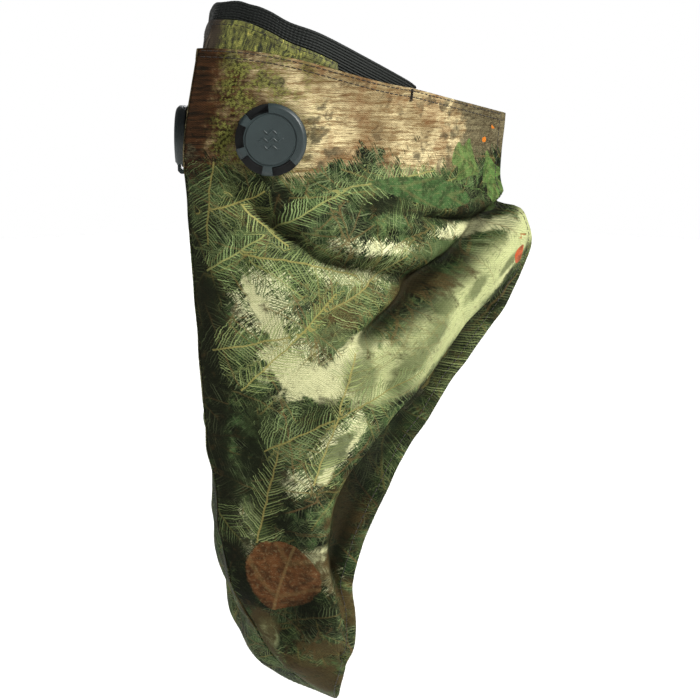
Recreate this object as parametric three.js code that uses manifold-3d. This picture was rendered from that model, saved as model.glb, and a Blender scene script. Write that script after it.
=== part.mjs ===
// Camouflage half-face mask with a hanging neck drape and two round exhale valves.
// Millimetres. +Z up, +Y towards the back of the head, +X towards the wearer's left.
// The origin is the middle of the wearer's head at the height of the valve centres.
import * as THREE from 'three';
import Module from 'manifold-3d';

// ---------- driving dimensions ----------
const CLOTH = 1.2;            // thickness of the camouflage cloth
const GAP = 0.3;              // clearance between pieces that lie against each other
const CENTRE_GAP = 0.2;       // half gap between the left and the right cloth panel

// One level of the cloth each, from the top hem down to the tip of the drape.
// ridge: [y, z] on the centre line; slope: how fast the flank falls back from the ridge;
// side: where the cloth turns to run straight back; hem: the rear edge.
const LEVELS = [
  { ridge: [-91, 50], slope: 0.93, side: [63.5, 15, 29], hem: [63, 99, 16] },
  { ridge: [-101.5, 0], slope: 1.0, side: [64, 30, -2], hem: [62, 97.5, -7] },
  { ridge: [-100, -35], slope: 0.95, side: [64.3, 30, -32], hem: [62, 99, -31] },
  { ridge: [-97.5, -64], slope: 0.93, side: [64.8, 35, -61], hem: [67.5, 119, -62] },
  { ridge: [-95, -105], slope: 0.93, side: [64.6, 30, -99], hem: [66.5, 99, -101] },
  { ridge: [-90.5, -150], slope: 0.9, side: [63, 15, -144], hem: [63, 52, -145] },
  { ridge: [-82, -205], slope: 0.88, side: [56, -4, -199], hem: [56, 7, -200] },
  { ridge: [-70, -258], slope: 0.6, side: [52.5, -24, -252], hem: [53, -20, -252] },
  { ridge: [-41, -308], slope: -0.05, side: [45.5, -22, -300], hem: [46, -16, -300] },
  { ridge: [-9, -338], slope: -0.15, side: [29, -13, -333], hem: [30, -12, -332] },
  { ridge: [13, -352], slope: 0, side: [2, 13, -352], hem: [2.5, 13, -351.5] },
];
const FLANK_REACH = 0.62;     // length of the straight flank, as a part of the half width
const SIDE_REACH = 0.52;      // length of the straight side, as a part of the depth
const HEM_REACH = 0.35;
const SIDE_RISE = 0.2;        // the straight side starts this far up towards the ridge's height

// Where the wings fold: a vertical line on each side of the head.
const FOLD_Y = 28;
const FOLD_GAP = 2.6;

// Valve: its middle on the cloth, and the stack along its outward axis, from the cloth's mid plane.
const VALVE_CENTRE = [34, -68, 0];
const VALVE_YAW = 45;         // degrees between the valve axis and straight ahead
const SEAT_FLAT = 27;         // the cloth is stretched flat inside this radius
const SEAT_FADE = 38;         // and has its own shape again outside this one
const HOLE_R = 14.1;          // hole in cloth and filter
const CAP_R = 19.9;
const CAP_FACE_R = 18.2;
const CAP_GROOVE_R = 14.1;
const CAP_LOW = 2.8;
const CAP_TOP = 9.2;
const CAP_PLATE = 1.6;
const SKIRT_IN_R = 17.5;
const VENT_IN_R = 14.8;
const VENT_DEG = 42;
const VENT_ANGLES = [114, 174, 234, 294, 354];
const VENT_LOW = 2;           // below the cap's rim, so the vents are open at the edge
const BARREL_R = 13.6;
const BORE_R = 11.8;
const BARREL_LOW = -6.8;
const FLANGE = [0.9, 2.4];
const COLLAR = [14.9, 15.9, 6.4];        // inner radius, outer radius, top
const LUG_DEG = 28;
const LUG = [15.6, 16.9, 4.9, 5.6];      // inner radius, outer radius, low, high
const TAB = [16.2, 17.8, 3.4, 4.4];
const BAYONET_ANGLES = [24, 144, 264];
const FLAP_R = 13;
const FLAP = [3.5, 4.1];
const FLAP_HOLE_PLAY = 0.4;
const POST_R = 1.3;
const POST_HEAD = [2.2, 5.7, 6.3];       // radius, low, high
const GASKET = [14.2, 18.6, -4.9, -3.6]; // inner radius, outer radius, low, high
const NUT = [13.9, 19, -6.9, -5.2];
const NUT_NOTCHES = 8;
const NUT_NOTCH = { deep: 1.4, degrees: 12 };
const CAP_BEVEL = 0.8;        // inside, between the plate and the skirt
const CAP_EDGE = 1.8;         // height of the sloping outer edge
const CAP_GROOVE = { half: 0.5, floor: 0.3, deep: 0.5 };
const FLAP_SEAT = 0.6;        // width of the raised lip that the flap closes on
const SPOKE = { wide: 1.6, high: 1.8, middle: 1.2 };
const POST_FOOT = [3, 0.3, 2.1];         // radius, low, high
const CAP_SEGMENTS = 30;
const BASE_SEGMENTS = 26;
const RING_SEGMENTS = 24;
const POST_SEGMENTS = 14;
const CLEAR = 1;              // cutting bodies reach this far past what they cut

// Nose cover and elastic: the upper edge and the direction in which they fall, left half from
// the nose back.
const COVER = [
  { top: [0, -75, 75.5], fall: [0, -0.38, -0.925] },
  { top: [14, -70, 75], fall: [0.02, -0.12, -0.993] },
  { top: [26, -62.5, 69.6], fall: [0, 0.03, -0.999] },
  { top: [35, -54, 63], fall: [0, 0.02, -1] },
  { top: [46, -39.5, 56.5], fall: [-0.07, -0.08, -0.994] },
  { top: [56.8, -11, 43], fall: [-0.06, -0.2, -0.978] },
  { top: [59.9, 14.6, 33], fall: [0, -0.3, -0.954] },
  { top: [60.3, 22.5, 29.3], fall: [0, -0.3, -0.954] },
];
const COVER_CLOTH = 1.0;
const COVER_END = 0.62;       // where the nose cover tapers out, as a part of the elastic's half length
const COVER_DEPTH = 33;       // at the nose
const COVER_DEPTH_END = 17;
const COVER_DEPTH_FADE = 0.05;  // where the depth starts to fall, as a part of the elastic's half length
const COVER_PROBE = 0.01;
const COVER_FROM = 10;        // the cover laps this far down over the elastic, on the outside
const ELASTIC_W = 19;
const ELASTIC_T = 1.2;
const ELASTIC_RISE = 1.5;     // the elastic stands this far above the line of COVER
const WIRE = { from: 20.5, to: 25.5, thick: 0.8, end: 0.36, slack: 0.4 };
const SLEEVE = { from: 18.6, to: 27.4, thick: 0.8, end: 0.4 };

// Filter pad behind the valves and seam tape along the ridge, by the cloth's columns and levels.
const PAD_T = 2.4;
const PAD_STATIONS = 8;      // columns of cloth corners on each side of the ridge
const PAD_LEVELS = [0.14, 2];
const PAD_RIDGE_CLEAR = 1.5;    // room for the seam tape
const PAD_RIDGE_FADE = [8, 20]; // distances from the ridge over which that room fades out
const PAD_STRAIGHT = [2, 14];   // the pad is set straight back from the ridge, then square to the cloth
const PAD_RELIEF = 1.2;         // extra room where the cloth isn't clamped
const PAD_RELIEF_R = 30;
const TAPE = { share: 0.7, thick: 0.8, levels: [0.14, 8.5], slack: 0.35 };

// Hook and loop tabs on the wings: distance from the rear hem, levels and thickness.
const HOOK = { hem: [6, 26], levels: [0.3, 1.85], thick: 1.6 };
const LOOP = { hem: [6, 42], levels: [0.3, 1.85], thick: 1.2 };
const TACK = { size: [0.7, 1.8, 5.5], level: 0.07, y: 13.5 };

const COLORS = {
  camo: 0x7d7a58, camoDark: 0x55563f, elastic: 0x2b2d2e, thread: 0x1c1c1c, plastic: 0x4b5558,
  plasticDark: 0x2c3133, silicone: 0xc9ccc8, carbon: 0x3a3b3c, metal: 0xb4b7ba, hook: 0x24262a,
};
const material = (color, roughness, metalness = 0) =>
  new THREE.MeshStandardMaterial({ color, roughness, metalness });
const CAMO = material(COLORS.camo, 0.9);
const COVER_CAMO = material(COLORS.camoDark, 0.9);
const ELASTIC = material(COLORS.elastic, 0.8);
const THREAD = material(COLORS.thread, 0.7);
const PLASTIC = material(COLORS.plastic, 0.45);
const PLASTIC_DARK = material(COLORS.plasticDark, 0.5);
const SILICONE = material(COLORS.silicone, 0.35);
const CARBON = material(COLORS.carbon, 0.95);
const METAL = material(COLORS.metal, 0.35, 1);
const HOOK_NYLON = material(COLORS.hook, 0.85);

// ---------- solids and booleans ----------
const wasm = await Module();
wasm.setup();

function solidFromArrays(positions, triangles) {
  const mesh = new wasm.Mesh({
    numProp: 3,
    vertProperties: new Float32Array(positions),
    triVerts: new Uint32Array(triangles),
  });
  return new wasm.Manifold(mesh);
}

function solidFromGeometry(geometry) {
  const shared = new Map();
  const positions = [];
  const triangles = [];
  const source = geometry.getAttribute('position');
  const count = geometry.index ? geometry.index.count : source.count;
  for (let k = 0; k < count; k += 1) {
    const i = geometry.index ? geometry.index.getX(k) : k;
    const corner = [source.getX(i), source.getY(i), source.getZ(i)];
    const key = corner.map((value) => Math.round(value * 1e4)).join(' ');
    if (!shared.has(key)) {
      shared.set(key, positions.length / 3);
      positions.push(...corner);
    }
    triangles.push(shared.get(key));
  }
  const kept = [];
  for (let k = 0; k < triangles.length; k += 3) {
    const [a, b, c] = triangles.slice(k, k + 3);
    if (a !== b && b !== c && c !== a) kept.push(a, b, c);
  }
  return solidFromArrays(positions, kept);
}

function geometryFromSolid(solid) {
  const mesh = solid.getMesh();
  const positions = new Float32Array(mesh.numVert * 3);
  for (let i = 0; i < mesh.numVert; i += 1) {
    for (let axis = 0; axis < 3; axis += 1) {
      positions[3 * i + axis] = mesh.vertProperties[mesh.numProp * i + axis];
    }
  }
  const geometry = new THREE.BufferGeometry();
  geometry.setAttribute('position', new THREE.BufferAttribute(positions, 3));
  geometry.setIndex(Array.from(mesh.triVerts));
  geometry.computeVertexNormals();
  return geometry;
}

function boxBetween(low, high) {
  const size = high.map((value, axis) => value - low[axis]);
  const middle = high.map((value, axis) => (value + low[axis]) / 2);
  return solidFromGeometry(new THREE.BoxGeometry(...size).translate(...middle));
}

// A solid of revolution about the local Z axis; the profile is [radius, height] pairs.
function turned(profile, segments) {
  const points = profile.map(([r, z]) => new THREE.Vector2(r, z));
  const lathe = new THREE.LatheGeometry(points, segments).rotateX(Math.PI / 2);
  return solidFromGeometry(lathe);
}

function ring(innerR, outerR, low, high, segments) {
  return turned([[innerR, low], [outerR, low], [outerR, high], [innerR, high], [innerR, low]], segments);
}

// A slice of a ring, centred on an angle in degrees.
function ringSlice(innerR, outerR, low, high, angle, width, steps = 4) {
  const start = THREE.MathUtils.degToRad(angle - width / 2);
  const end = THREE.MathUtils.degToRad(angle + width / 2);
  const shape = new THREE.Shape();
  shape.absarc(0, 0, outerR, start, end, false);
  shape.absarc(0, 0, innerR, end, start, true);
  shape.closePath();
  const options = { depth: high - low, bevelEnabled: false, curveSegments: steps };
  return solidFromGeometry(new THREE.ExtrudeGeometry(shape, options).translate(0, 0, low));
}

// A closed sheet around a mid surface: pointAt(i, j) for i in 0..across and j in 0..down.
function sheet(pointAt, across, down, thickness) {
  const middle = [];
  for (let j = 0; j <= down; j += 1) {
    for (let i = 0; i <= across; i += 1) middle.push(pointAt(i, j));
  }
  const at = (i, j) => j * (across + 1) + i;
  const clamp = (value, top) => Math.min(Math.max(value, 0), top);
  const positions = [];
  for (const side of [0.5, -0.5]) {
    for (let j = 0; j <= down; j += 1) {
      for (let i = 0; i <= across; i += 1) {
        const along = middle[at(clamp(i + 1, across), j)].clone().sub(middle[at(clamp(i - 1, across), j)]);
        const below = middle[at(i, clamp(j + 1, down))].clone().sub(middle[at(i, clamp(j - 1, down))]);
        const normal = below.cross(along).normalize();
        const point = middle[at(i, j)].clone().addScaledVector(normal, side * thickness);
        positions.push(point.x, point.y, point.z);
      }
    }
  }
  const half = middle.length;
  const triangles = [];
  const quad = (a, b, c, d) => triangles.push(a, b, c, a, c, d);
  for (let j = 0; j < down; j += 1) {
    for (let i = 0; i < across; i += 1) {
      const [a, b, c, d] = [at(i, j), at(i, j + 1), at(i + 1, j + 1), at(i + 1, j)];
      quad(a, b, c, d);
      quad(half + a, half + d, half + c, half + b);
    }
  }
  for (let i = 0; i < across; i += 1) {
    quad(at(i, 0), at(i + 1, 0), half + at(i + 1, 0), half + at(i, 0));
    quad(at(i + 1, down), at(i, down), half + at(i, down), half + at(i + 1, down));
  }
  for (let j = 0; j < down; j += 1) {
    quad(at(0, j + 1), at(0, j), half + at(0, j), half + at(0, j + 1));
    quad(at(across, j), at(across, j + 1), half + at(across, j + 1), half + at(across, j));
  }
  const solid = solidFromArrays(positions, triangles);
  return solid.volume() > 0 ? solid : solidFromArrays(positions, flipped(triangles));
}

function flipped(triangles) {
  const turnedOver = [];
  for (let k = 0; k < triangles.length; k += 3) {
    turnedOver.push(triangles[k], triangles[k + 2], triangles[k + 1]);
  }
  return turnedOver;
}

const mirrored = (solid) => solid.mirror([1, 0, 0]);

// ---------- the cloth's mid surface ----------
// Catmull-Rom through a list of number lists, at a place counted in list steps.
function through(list, place) {
  const last = list.length - 1;
  const i = Math.min(Math.max(Math.floor(place), 0), last - 1);
  const f = place - i;
  const p1 = list[i];
  const p2 = list[i + 1];
  const p0 = i > 0 ? list[i - 1] : p1.map((value, k) => 2 * value - p2[k]);
  const p3 = i + 2 <= last ? list[i + 2] : p2.map((value, k) => 2 * value - p1[k]);
  return p1.map((value, k) => 0.5 * (2 * value + (p2[k] - p0[k]) * f
    + (2 * p0[k] - 5 * value + 4 * p2[k] - p3[k]) * f * f
    + (3 * value - p0[k] - 3 * p2[k] + p3[k]) * f * f * f));
}

const levelNumbers = LEVELS.map((level) => [...level.ridge, level.slope, ...level.side, ...level.hem]);

function sectionAt(level) {
  const [ridgeY, ridgeZ, slope, sx, sy, sz, hx, hy, hz] = through(levelNumbers, level);
  const ridge = new THREE.Vector3(0, ridgeY, ridgeZ);
  const side = new THREE.Vector3(sx, sy, sz);
  const hem = new THREE.Vector3(hx, hy, hz);
  const flankX = FLANK_REACH * sx;
  const flank = new THREE.Vector3(flankX, ridgeY + slope * flankX, ridgeZ);
  const beforeSide = new THREE.Vector3(sx, sy - SIDE_REACH * (sy - ridgeY), sz + SIDE_RISE * (ridgeZ - sz));
  const afterSide = side.clone().lerp(hem, HEM_REACH).setX(sx);
  const beforeHem = hem.clone().lerp(side, HEM_REACH);
  const path = new THREE.CurvePath();
  path.add(new THREE.CubicBezierCurve3(ridge, flank, beforeSide, side));
  path.add(new THREE.CubicBezierCurve3(side, afterSide, beforeHem, hem));
  return path;
}

const valveMiddle = new THREE.Vector3(...VALVE_CENTRE);
const yaw = THREE.MathUtils.degToRad(VALVE_YAW);
const valveAxis = new THREE.Vector3(Math.sin(yaw), -Math.cos(yaw), 0);

// Pull the cloth onto the valve's plane where the valve clamps it.
function seated(point) {
  const offset = point.clone().sub(valveMiddle);
  const height = offset.dot(valveAxis);
  const radius = offset.addScaledVector(valveAxis, -height).length();
  const hold = 1 - THREE.MathUtils.smoothstep(radius, SEAT_FLAT, SEAT_FADE);
  return point.clone().addScaledVector(valveAxis, -height * hold);
}

const sections = new Map();
function clothPoint(level, distance) {
  if (!sections.has(level)) sections.set(level, sectionAt(level));
  const path = sections.get(level);
  return seated(path.getPoint(THREE.MathUtils.clamp(distance / path.getLength(), 0, 1)));
}

// The same surface, moved inwards (or outwards, if negative) along its normal.
const PROBE = 0.5;            // distance, in mm, over which the surface's slope is taken
const PROBE_LEVEL = 0.02;     // and the same in levels
function clothOffset(level, distance, inwards) {
  const here = clothPoint(level, distance);
  const back = Math.max(distance - PROBE, 0);
  const high = Math.max(level - PROBE_LEVEL, 0);
  const along = clothPoint(level, back + 2 * PROBE).sub(clothPoint(level, back));
  const below = clothPoint(high + 2 * PROBE_LEVEL, distance).sub(clothPoint(high, distance));
  const normal = below.cross(along).normalize();
  return here.addScaledVector(normal, -inwards);
}

// Distances from the ridge at which the cloth has a row of corners: close at the valve, wide behind.
const FRONT_STATIONS = 9;
const FRONT_REACH = 78;
const REAR_STATIONS = 6;
const stationShare = (i, total) => (i <= FRONT_STATIONS
  ? (i / FRONT_STATIONS) * Math.min(FRONT_REACH, total * 0.6)
  : THREE.MathUtils.lerp(Math.min(FRONT_REACH, total * 0.6), total, (i - FRONT_STATIONS) / REAR_STATIONS));
const levelStations = [];
for (let k = 0; k < 6; k += 1) levelStations.push(k / 6);
for (let k = 0; k < 4; k += 1) levelStations.push(1 + k / 4);
for (let k = 4; k < 20; k += 1) levelStations.push(k / 2);
levelStations.push(10);

function clothSide() {
  const across = FRONT_STATIONS + REAR_STATIONS;
  const pointAt = (i, j) => {
    const level = levelStations[j];
    const total = sectionAt(level).getLength();
    return clothPoint(level, stationShare(i, total));
  };
  return sheet(pointAt, across, levelStations.length - 1, CLOTH);
}

function valveHole() {
  const hole = new THREE.CylinderGeometry(HOLE_R, HOLE_R, 24, 32).rotateX(Math.PI / 2);
  return solidFromGeometry(hole).transform(valveMatrix(1).toArray());
}

// Places a valve piece, built around its local Z axis, on the left (1) or right (-1) flank.
function valveMatrix(side) {
  const outward = new THREE.Vector3(side * valveAxis.x, valveAxis.y, 0);
  const up = new THREE.Vector3(0, 0, 1);
  const across = up.clone().cross(outward);
  const matrix = new THREE.Matrix4().makeBasis(across, up, outward);
  return matrix.setPosition(side * valveMiddle.x, valveMiddle.y, valveMiddle.z);
}

const REACH = 600;
function clothFront(side) {
  return side
    .intersect(boxBetween([CENTRE_GAP, -REACH, -REACH], [REACH, FOLD_Y - FOLD_GAP / 2, REACH]))
    .subtract(valveHole());
}

function clothWing(side) {
  return side.intersect(boxBetween([CENTRE_GAP, FOLD_Y + FOLD_GAP / 2, -REACH], [REACH, REACH, REACH]));
}

// Seam tape inside the ridge: a narrow folded strip on the cloth's own rows of corners.
function seamTape() {
  const rows = levelStations.filter((level) => level >= TAPE.levels[0] && level <= TAPE.levels[1]);
  const inset = CLOTH / 2 + GAP + TAPE.thick / 2 + TAPE.slack;
  const pointAt = (i, j) => {
    const level = rows[j];
    const first = stationShare(1, sectionAt(level).getLength());
    const ridge = clothPoint(level, 0);
    const beside = clothPoint(level, first);
    const point = ridge.clone().lerp(beside, Math.abs(i - 2) * TAPE.share / 2);
    const slope = (beside.y - ridge.y) / (beside.x - ridge.x);
    point.y += inset * Math.hypot(1, slope);
    point.x *= Math.sign(i - 2);
    return point;
  };
  return sheet(pointAt, 4, rows.length - 1, TAPE.thick);
}

// The filter pad: a folded pad behind both valves, on the cloth's own rows of corners.
function filterPad() {
  const rows = levelStations.filter((level) => level >= PAD_LEVELS[0] && level <= PAD_LEVELS[1]);
  const inset = CLOTH / 2 + GAP + PAD_T / 2;
  const pointAt = (i, j) => {
    const level = rows[j];
    const station = Math.abs(i - PAD_STATIONS);
    const reach = stationShare(station, sectionAt(level).getLength());
    const unclamped = THREE.MathUtils.smoothstep(
      clothPoint(level, reach).distanceTo(valveMiddle), NUT[1], PAD_RELIEF_R);
    const atRidge = 1 - THREE.MathUtils.smoothstep(reach, ...PAD_RIDGE_FADE);
    const clear = PAD_RIDGE_CLEAR * atRidge + PAD_RELIEF * unclamped;
    const nearRidge = 1 - THREE.MathUtils.smoothstep(reach, ...PAD_STRAIGHT);
    const straight = clothPoint(level, reach);
    straight.y += (inset + clear) * Math.hypot(1, through(levelNumbers, level)[2]);
    const point = clothOffset(level, reach, inset + clear).lerp(straight, nearRidge);
    point.x *= Math.sign(i - PAD_STATIONS);
    return point;
  };
  const hole = valveHole();
  return sheet(pointAt, 2 * PAD_STATIONS, rows.length - 1, PAD_T).subtract(hole).subtract(mirrored(hole));
}

// ---------- nose cover, elastic, wire ----------
const coverNumbers = COVER.map((station) => [...station.top, ...station.fall]);
// place runs from -1 (right end of the elastic) over 0 (nose) to 1 (left end); drop is in mm.
function coverPoint(place, drop) {
  const last = coverNumbers.length - 1;
  const both = [...coverNumbers.slice(1).reverse().map(([x, y, z, fx, fy, fz]) => [-x, y, z, -fx, fy, fz]),
    ...coverNumbers];
  const [x, y, z, fx, fy, fz] = through(both, (place + 1) * last);
  return new THREE.Vector3(x + fx * drop, y + fy * drop, z + fz * drop);
}

function coverOffset(place, drop, outwards) {
  const along = coverPoint(place + COVER_PROBE, drop).sub(coverPoint(place - COVER_PROBE, drop));
  const below = coverPoint(place, drop + 1).sub(coverPoint(place, drop));
  const normal = below.cross(along).normalize();
  return coverPoint(place, drop).addScaledVector(normal, outwards);
}

function coverStrip(end, from, to, outwards, thickness, across, down) {
  const pointAt = (i, j) => {
    const place = THREE.MathUtils.lerp(-end, end, i / across);
    const low = typeof to === 'function' ? to(place) : to;
    return coverOffset(place, THREE.MathUtils.lerp(from, low, j / down), outwards);
  };
  return sheet(pointAt, across, down, thickness);
}

const coverDepth = (place) => THREE.MathUtils.lerp(COVER_DEPTH, COVER_DEPTH_END,
  THREE.MathUtils.smoothstep(Math.abs(place), COVER_DEPTH_FADE, COVER_END));
const noseCover = () => coverStrip(COVER_END, COVER_FROM, coverDepth, 0, COVER_CLOTH, 24, 3);
const elasticBand = () => coverStrip(1, -ELASTIC_RISE, ELASTIC_W - ELASTIC_RISE,
  -(COVER_CLOTH / 2 + GAP + ELASTIC_T / 2), ELASTIC_T, 40, 3);
const noseWire = () => coverStrip(WIRE.end, WIRE.from, WIRE.to,
  -(COVER_CLOTH / 2 + GAP + WIRE.slack + WIRE.thick / 2), WIRE.thick, 20, 1);
const wireSleeve = () => coverStrip(SLEEVE.end, SLEEVE.from, SLEEVE.to,
  -(COVER_CLOTH / 2 + 2 * (GAP + WIRE.slack) + WIRE.thick + SLEEVE.thick / 2), SLEEVE.thick, 20, 2);

// ---------- wing tabs and bar tacks ----------
function wingTab(tab, outwards) {
  const pointAt = (i, j) => {
    const level = THREE.MathUtils.lerp(tab.levels[0], tab.levels[1], j / 5);
    const total = sectionAt(level).getLength();
    const distance = total - THREE.MathUtils.lerp(tab.hem[0], tab.hem[1], i / 3);
    return clothOffset(level, distance, -outwards);
  };
  return sheet(pointAt, 3, 5, tab.thick);
}

function barTack() {
  const total = sectionAt(TACK.level).getLength();
  let distance = total;
  while (clothPoint(TACK.level, distance).y > TACK.y) distance -= 0.5;
  const place = clothOffset(TACK.level, distance, -(CLOTH / 2 + GAP + TACK.size[0] / 2));
  const half = TACK.size.map((value) => value / 2);
  const low = [place.x - half[0], place.y - half[1], place.z - 2 * half[2]];
  const high = [place.x + half[0], place.y + half[1], place.z];
  return boxBetween(low, high);
}

// ---------- valve ----------
const joined = (solids) => solids.reduce((whole, solid) => whole.add(solid));

function valveCap() {
  const under = CAP_TOP - CAP_PLATE;
  const body = turned([
    [0, under], [SKIRT_IN_R - CAP_BEVEL, under], [SKIRT_IN_R, under - CAP_BEVEL], [SKIRT_IN_R, CAP_LOW],
    [CAP_R, CAP_LOW], [CAP_R, CAP_TOP - CAP_EDGE], [CAP_FACE_R, CAP_TOP],
    [CAP_GROOVE_R + CAP_GROOVE.half, CAP_TOP],
    [CAP_GROOVE_R + CAP_GROOVE.floor, CAP_TOP - CAP_GROOVE.deep],
    [CAP_GROOVE_R - CAP_GROOVE.floor, CAP_TOP - CAP_GROOVE.deep],
    [CAP_GROOVE_R - CAP_GROOVE.half, CAP_TOP], [0, CAP_TOP],
  ], CAP_SEGMENTS);
  const tabs = BAYONET_ANGLES.map((angle) => ringSlice(...TAB, angle, LUG_DEG, 4));
  const vents = VENT_ANGLES.map((angle) => ringSlice(VENT_IN_R, CAP_R + CLEAR, VENT_LOW,
    CAP_TOP + CLEAR, angle, VENT_DEG));
  return joined([body, ...tabs]).subtract(joined(vents));
}

function valveBase() {
  const body = turned([
    [BORE_R, BARREL_LOW], [BARREL_R, BARREL_LOW], [BARREL_R, FLANGE[0]], [CAP_R, FLANGE[0]],
    [CAP_R, FLANGE[1]], [COLLAR[1], FLANGE[1]], [COLLAR[1], COLLAR[2]], [COLLAR[0], COLLAR[2]],
    [COLLAR[0], FLANGE[1]], [BARREL_R, FLANGE[1]], [BARREL_R - FLAP_SEAT, FLAP[0] - GAP],
    [BORE_R, FLAP[0] - GAP], [BORE_R, BARREL_LOW],
  ], BASE_SEGMENTS);
  const spokes = [0, 1].map((k) => solidFromGeometry(
    new THREE.BoxGeometry(2 * BORE_R + CLEAR, SPOKE.wide, SPOKE.high)
      .rotateZ(Math.PI / 4 + (k * Math.PI) / 2).translate(0, 0, SPOKE.middle),
  ));
  const post = turned([
    [0, POST_FOOT[1]], [POST_FOOT[0], POST_FOOT[1]], [POST_FOOT[0], POST_FOOT[2]],
    [POST_R, POST_FOOT[2]], [POST_R, POST_HEAD[1]], [POST_HEAD[0], POST_HEAD[1]],
    [POST_HEAD[0], POST_HEAD[2]], [0, POST_HEAD[2]],
  ], POST_SEGMENTS);
  const lugs = BAYONET_ANGLES.map((angle) => ringSlice(...LUG, angle, LUG_DEG, 4));
  return joined([body, ...spokes, post, ...lugs]);
}

function ringNut() {
  const notches = [];
  for (let k = 0; k < NUT_NOTCHES; k += 1) {
    const angle = (k * 360) / NUT_NOTCHES;
    notches.push(ringSlice(NUT[1] - NUT_NOTCH.deep, NUT[1] + CLEAR, NUT[2] - CLEAR, NUT[3] + CLEAR,
      angle, NUT_NOTCH.degrees, 1));
  }
  return ring(...NUT, BASE_SEGMENTS).subtract(joined(notches));
}

const valvePieces = {
  valve_cap: [valveCap(), PLASTIC],
  valve_base: [valveBase(), PLASTIC_DARK],
  valve_flap: [ring(POST_R + FLAP_HOLE_PLAY, FLAP_R, ...FLAP, RING_SEGMENTS), SILICONE],
  valve_gasket: [ring(...GASKET, RING_SEGMENTS), SILICONE],
  valve_ring_nut: [ringNut(), PLASTIC_DARK],
};

// ---------- assembly ----------
const group = new THREE.Group();

function addNode(name, solid, finish, matrix) {
  const mesh = new THREE.Mesh(geometryFromSolid(solid), finish);
  mesh.name = name;
  if (matrix) mesh.applyMatrix4(matrix);
  group.add(mesh);
}

const leftCloth = clothSide();
const leftFront = clothFront(leftCloth);
const leftWing = clothWing(leftCloth);
addNode('shell_left_front', leftFront, CAMO);
addNode('shell_right_front', mirrored(leftFront), CAMO);
addNode('shell_left_wing', leftWing, CAMO);
addNode('shell_right_wing', mirrored(leftWing), CAMO);
addNode('front_seam_tape', seamTape(), THREAD);
addNode('filter_pad', filterPad(), CARBON);
addNode('nose_cover', noseCover(), COVER_CAMO);
addNode('elastic_band', elasticBand(), ELASTIC);
addNode('nose_wire', noseWire(), METAL);
addNode('nose_wire_sleeve', wireSleeve(), COVER_CAMO);

const besideCloth = (thickness) => CLOTH / 2 + GAP + thickness / 2;
addNode('hook_tab', wingTab(HOOK, -besideCloth(HOOK.thick)), HOOK_NYLON);
addNode('loop_tab', mirrored(wingTab(LOOP, besideCloth(LOOP.thick))), HOOK_NYLON);

const tack = barTack();
addNode('left_bar_tack', tack, THREAD);
addNode('right_bar_tack', mirrored(tack), THREAD);

for (const [side, sign] of [['left', 1], ['right', -1]]) {
  for (const [name, [solid, finish]] of Object.entries(valvePieces)) {
    addNode(`${side}_${name}`, solid, finish, valveMatrix(sign));
  }
}

export default group;
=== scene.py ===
import math
import random

import bmesh
import bpy
import numpy as np
from mathutils import Matrix, Vector


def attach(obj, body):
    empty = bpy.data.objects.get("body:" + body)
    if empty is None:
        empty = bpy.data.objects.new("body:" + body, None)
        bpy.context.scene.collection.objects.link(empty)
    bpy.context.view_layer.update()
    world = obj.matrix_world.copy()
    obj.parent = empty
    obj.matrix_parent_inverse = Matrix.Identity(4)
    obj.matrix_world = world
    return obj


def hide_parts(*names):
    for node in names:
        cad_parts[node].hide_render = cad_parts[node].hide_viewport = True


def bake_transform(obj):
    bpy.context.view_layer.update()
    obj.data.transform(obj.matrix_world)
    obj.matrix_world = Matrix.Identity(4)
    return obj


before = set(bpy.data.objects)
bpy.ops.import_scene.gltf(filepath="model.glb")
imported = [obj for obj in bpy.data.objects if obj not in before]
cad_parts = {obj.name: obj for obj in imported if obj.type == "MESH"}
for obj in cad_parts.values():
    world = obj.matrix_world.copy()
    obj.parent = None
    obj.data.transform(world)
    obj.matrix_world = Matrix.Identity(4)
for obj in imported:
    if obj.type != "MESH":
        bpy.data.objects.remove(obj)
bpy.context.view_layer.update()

# Lengths are in millimetres up to the point where a mesh is made; MM turns them into metres.
MM = 0.001

# ---------- the cloth's own shape, as in the CAD ----------
# One level each, top hem to tip: ridge y, z; slope of the flank; side x, y, z; rear hem x, y, z.
LEVELS = np.array([
    (-91, 50, 0.93, 63.5, 15, 29, 63, 99, 16),
    (-101.5, 0, 1.0, 64, 30, -2, 62, 97.5, -7),
    (-100, -35, 0.95, 64.3, 30, -32, 62, 99, -31),
    (-97.5, -64, 0.93, 64.8, 35, -61, 67.5, 119, -62),
    (-95, -105, 0.93, 64.6, 30, -99, 66.5, 99, -101),
    (-90.5, -150, 0.9, 63, 15, -144, 63, 52, -145),
    (-82, -205, 0.88, 56, -4, -199, 56, 7, -200),
    (-70, -258, 0.6, 52.5, -24, -252, 53, -20, -252),
    (-41, -308, -0.05, 45.5, -22, -300, 46, -16, -300),
    (-9, -338, -0.15, 29, -13, -333, 30, -12, -332),
    (13, -352, 0, 2, 13, -352, 2.5, 13, -351.5),
], float)
FLANK_REACH = 0.62
SIDE_REACH = 0.52
HEM_REACH = 0.35
CLOTH = 1.1                   # cloth thickness
HEM_W = 5.8                   # width of the folded hem
HEM_RISE = 0.45               # how far the hem stands out on each face
STITCH_IN = 4.9               # stitch line, from the edge
CENTRE_GAP = 0.55

VALVE_MIDDLE = np.array([34.0, -68.0, 0.0])
VALVE_AXIS = np.array([math.sqrt(0.5), -math.sqrt(0.5), 0.0])
SEAT_FLAT = 22.0
SEAT_FADE = 40.0
HOLE_R = 14.1
HOLE_REACH = 4.0              # open edges this close to the hole belong to its rim
FAR_AWAY = 1000.0             # for points that are not near a valve
CAP_R = 19.9


def unit(vectors):
    return vectors / np.maximum(np.linalg.norm(vectors, axis=-1, keepdims=True), 1e-9)


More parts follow.
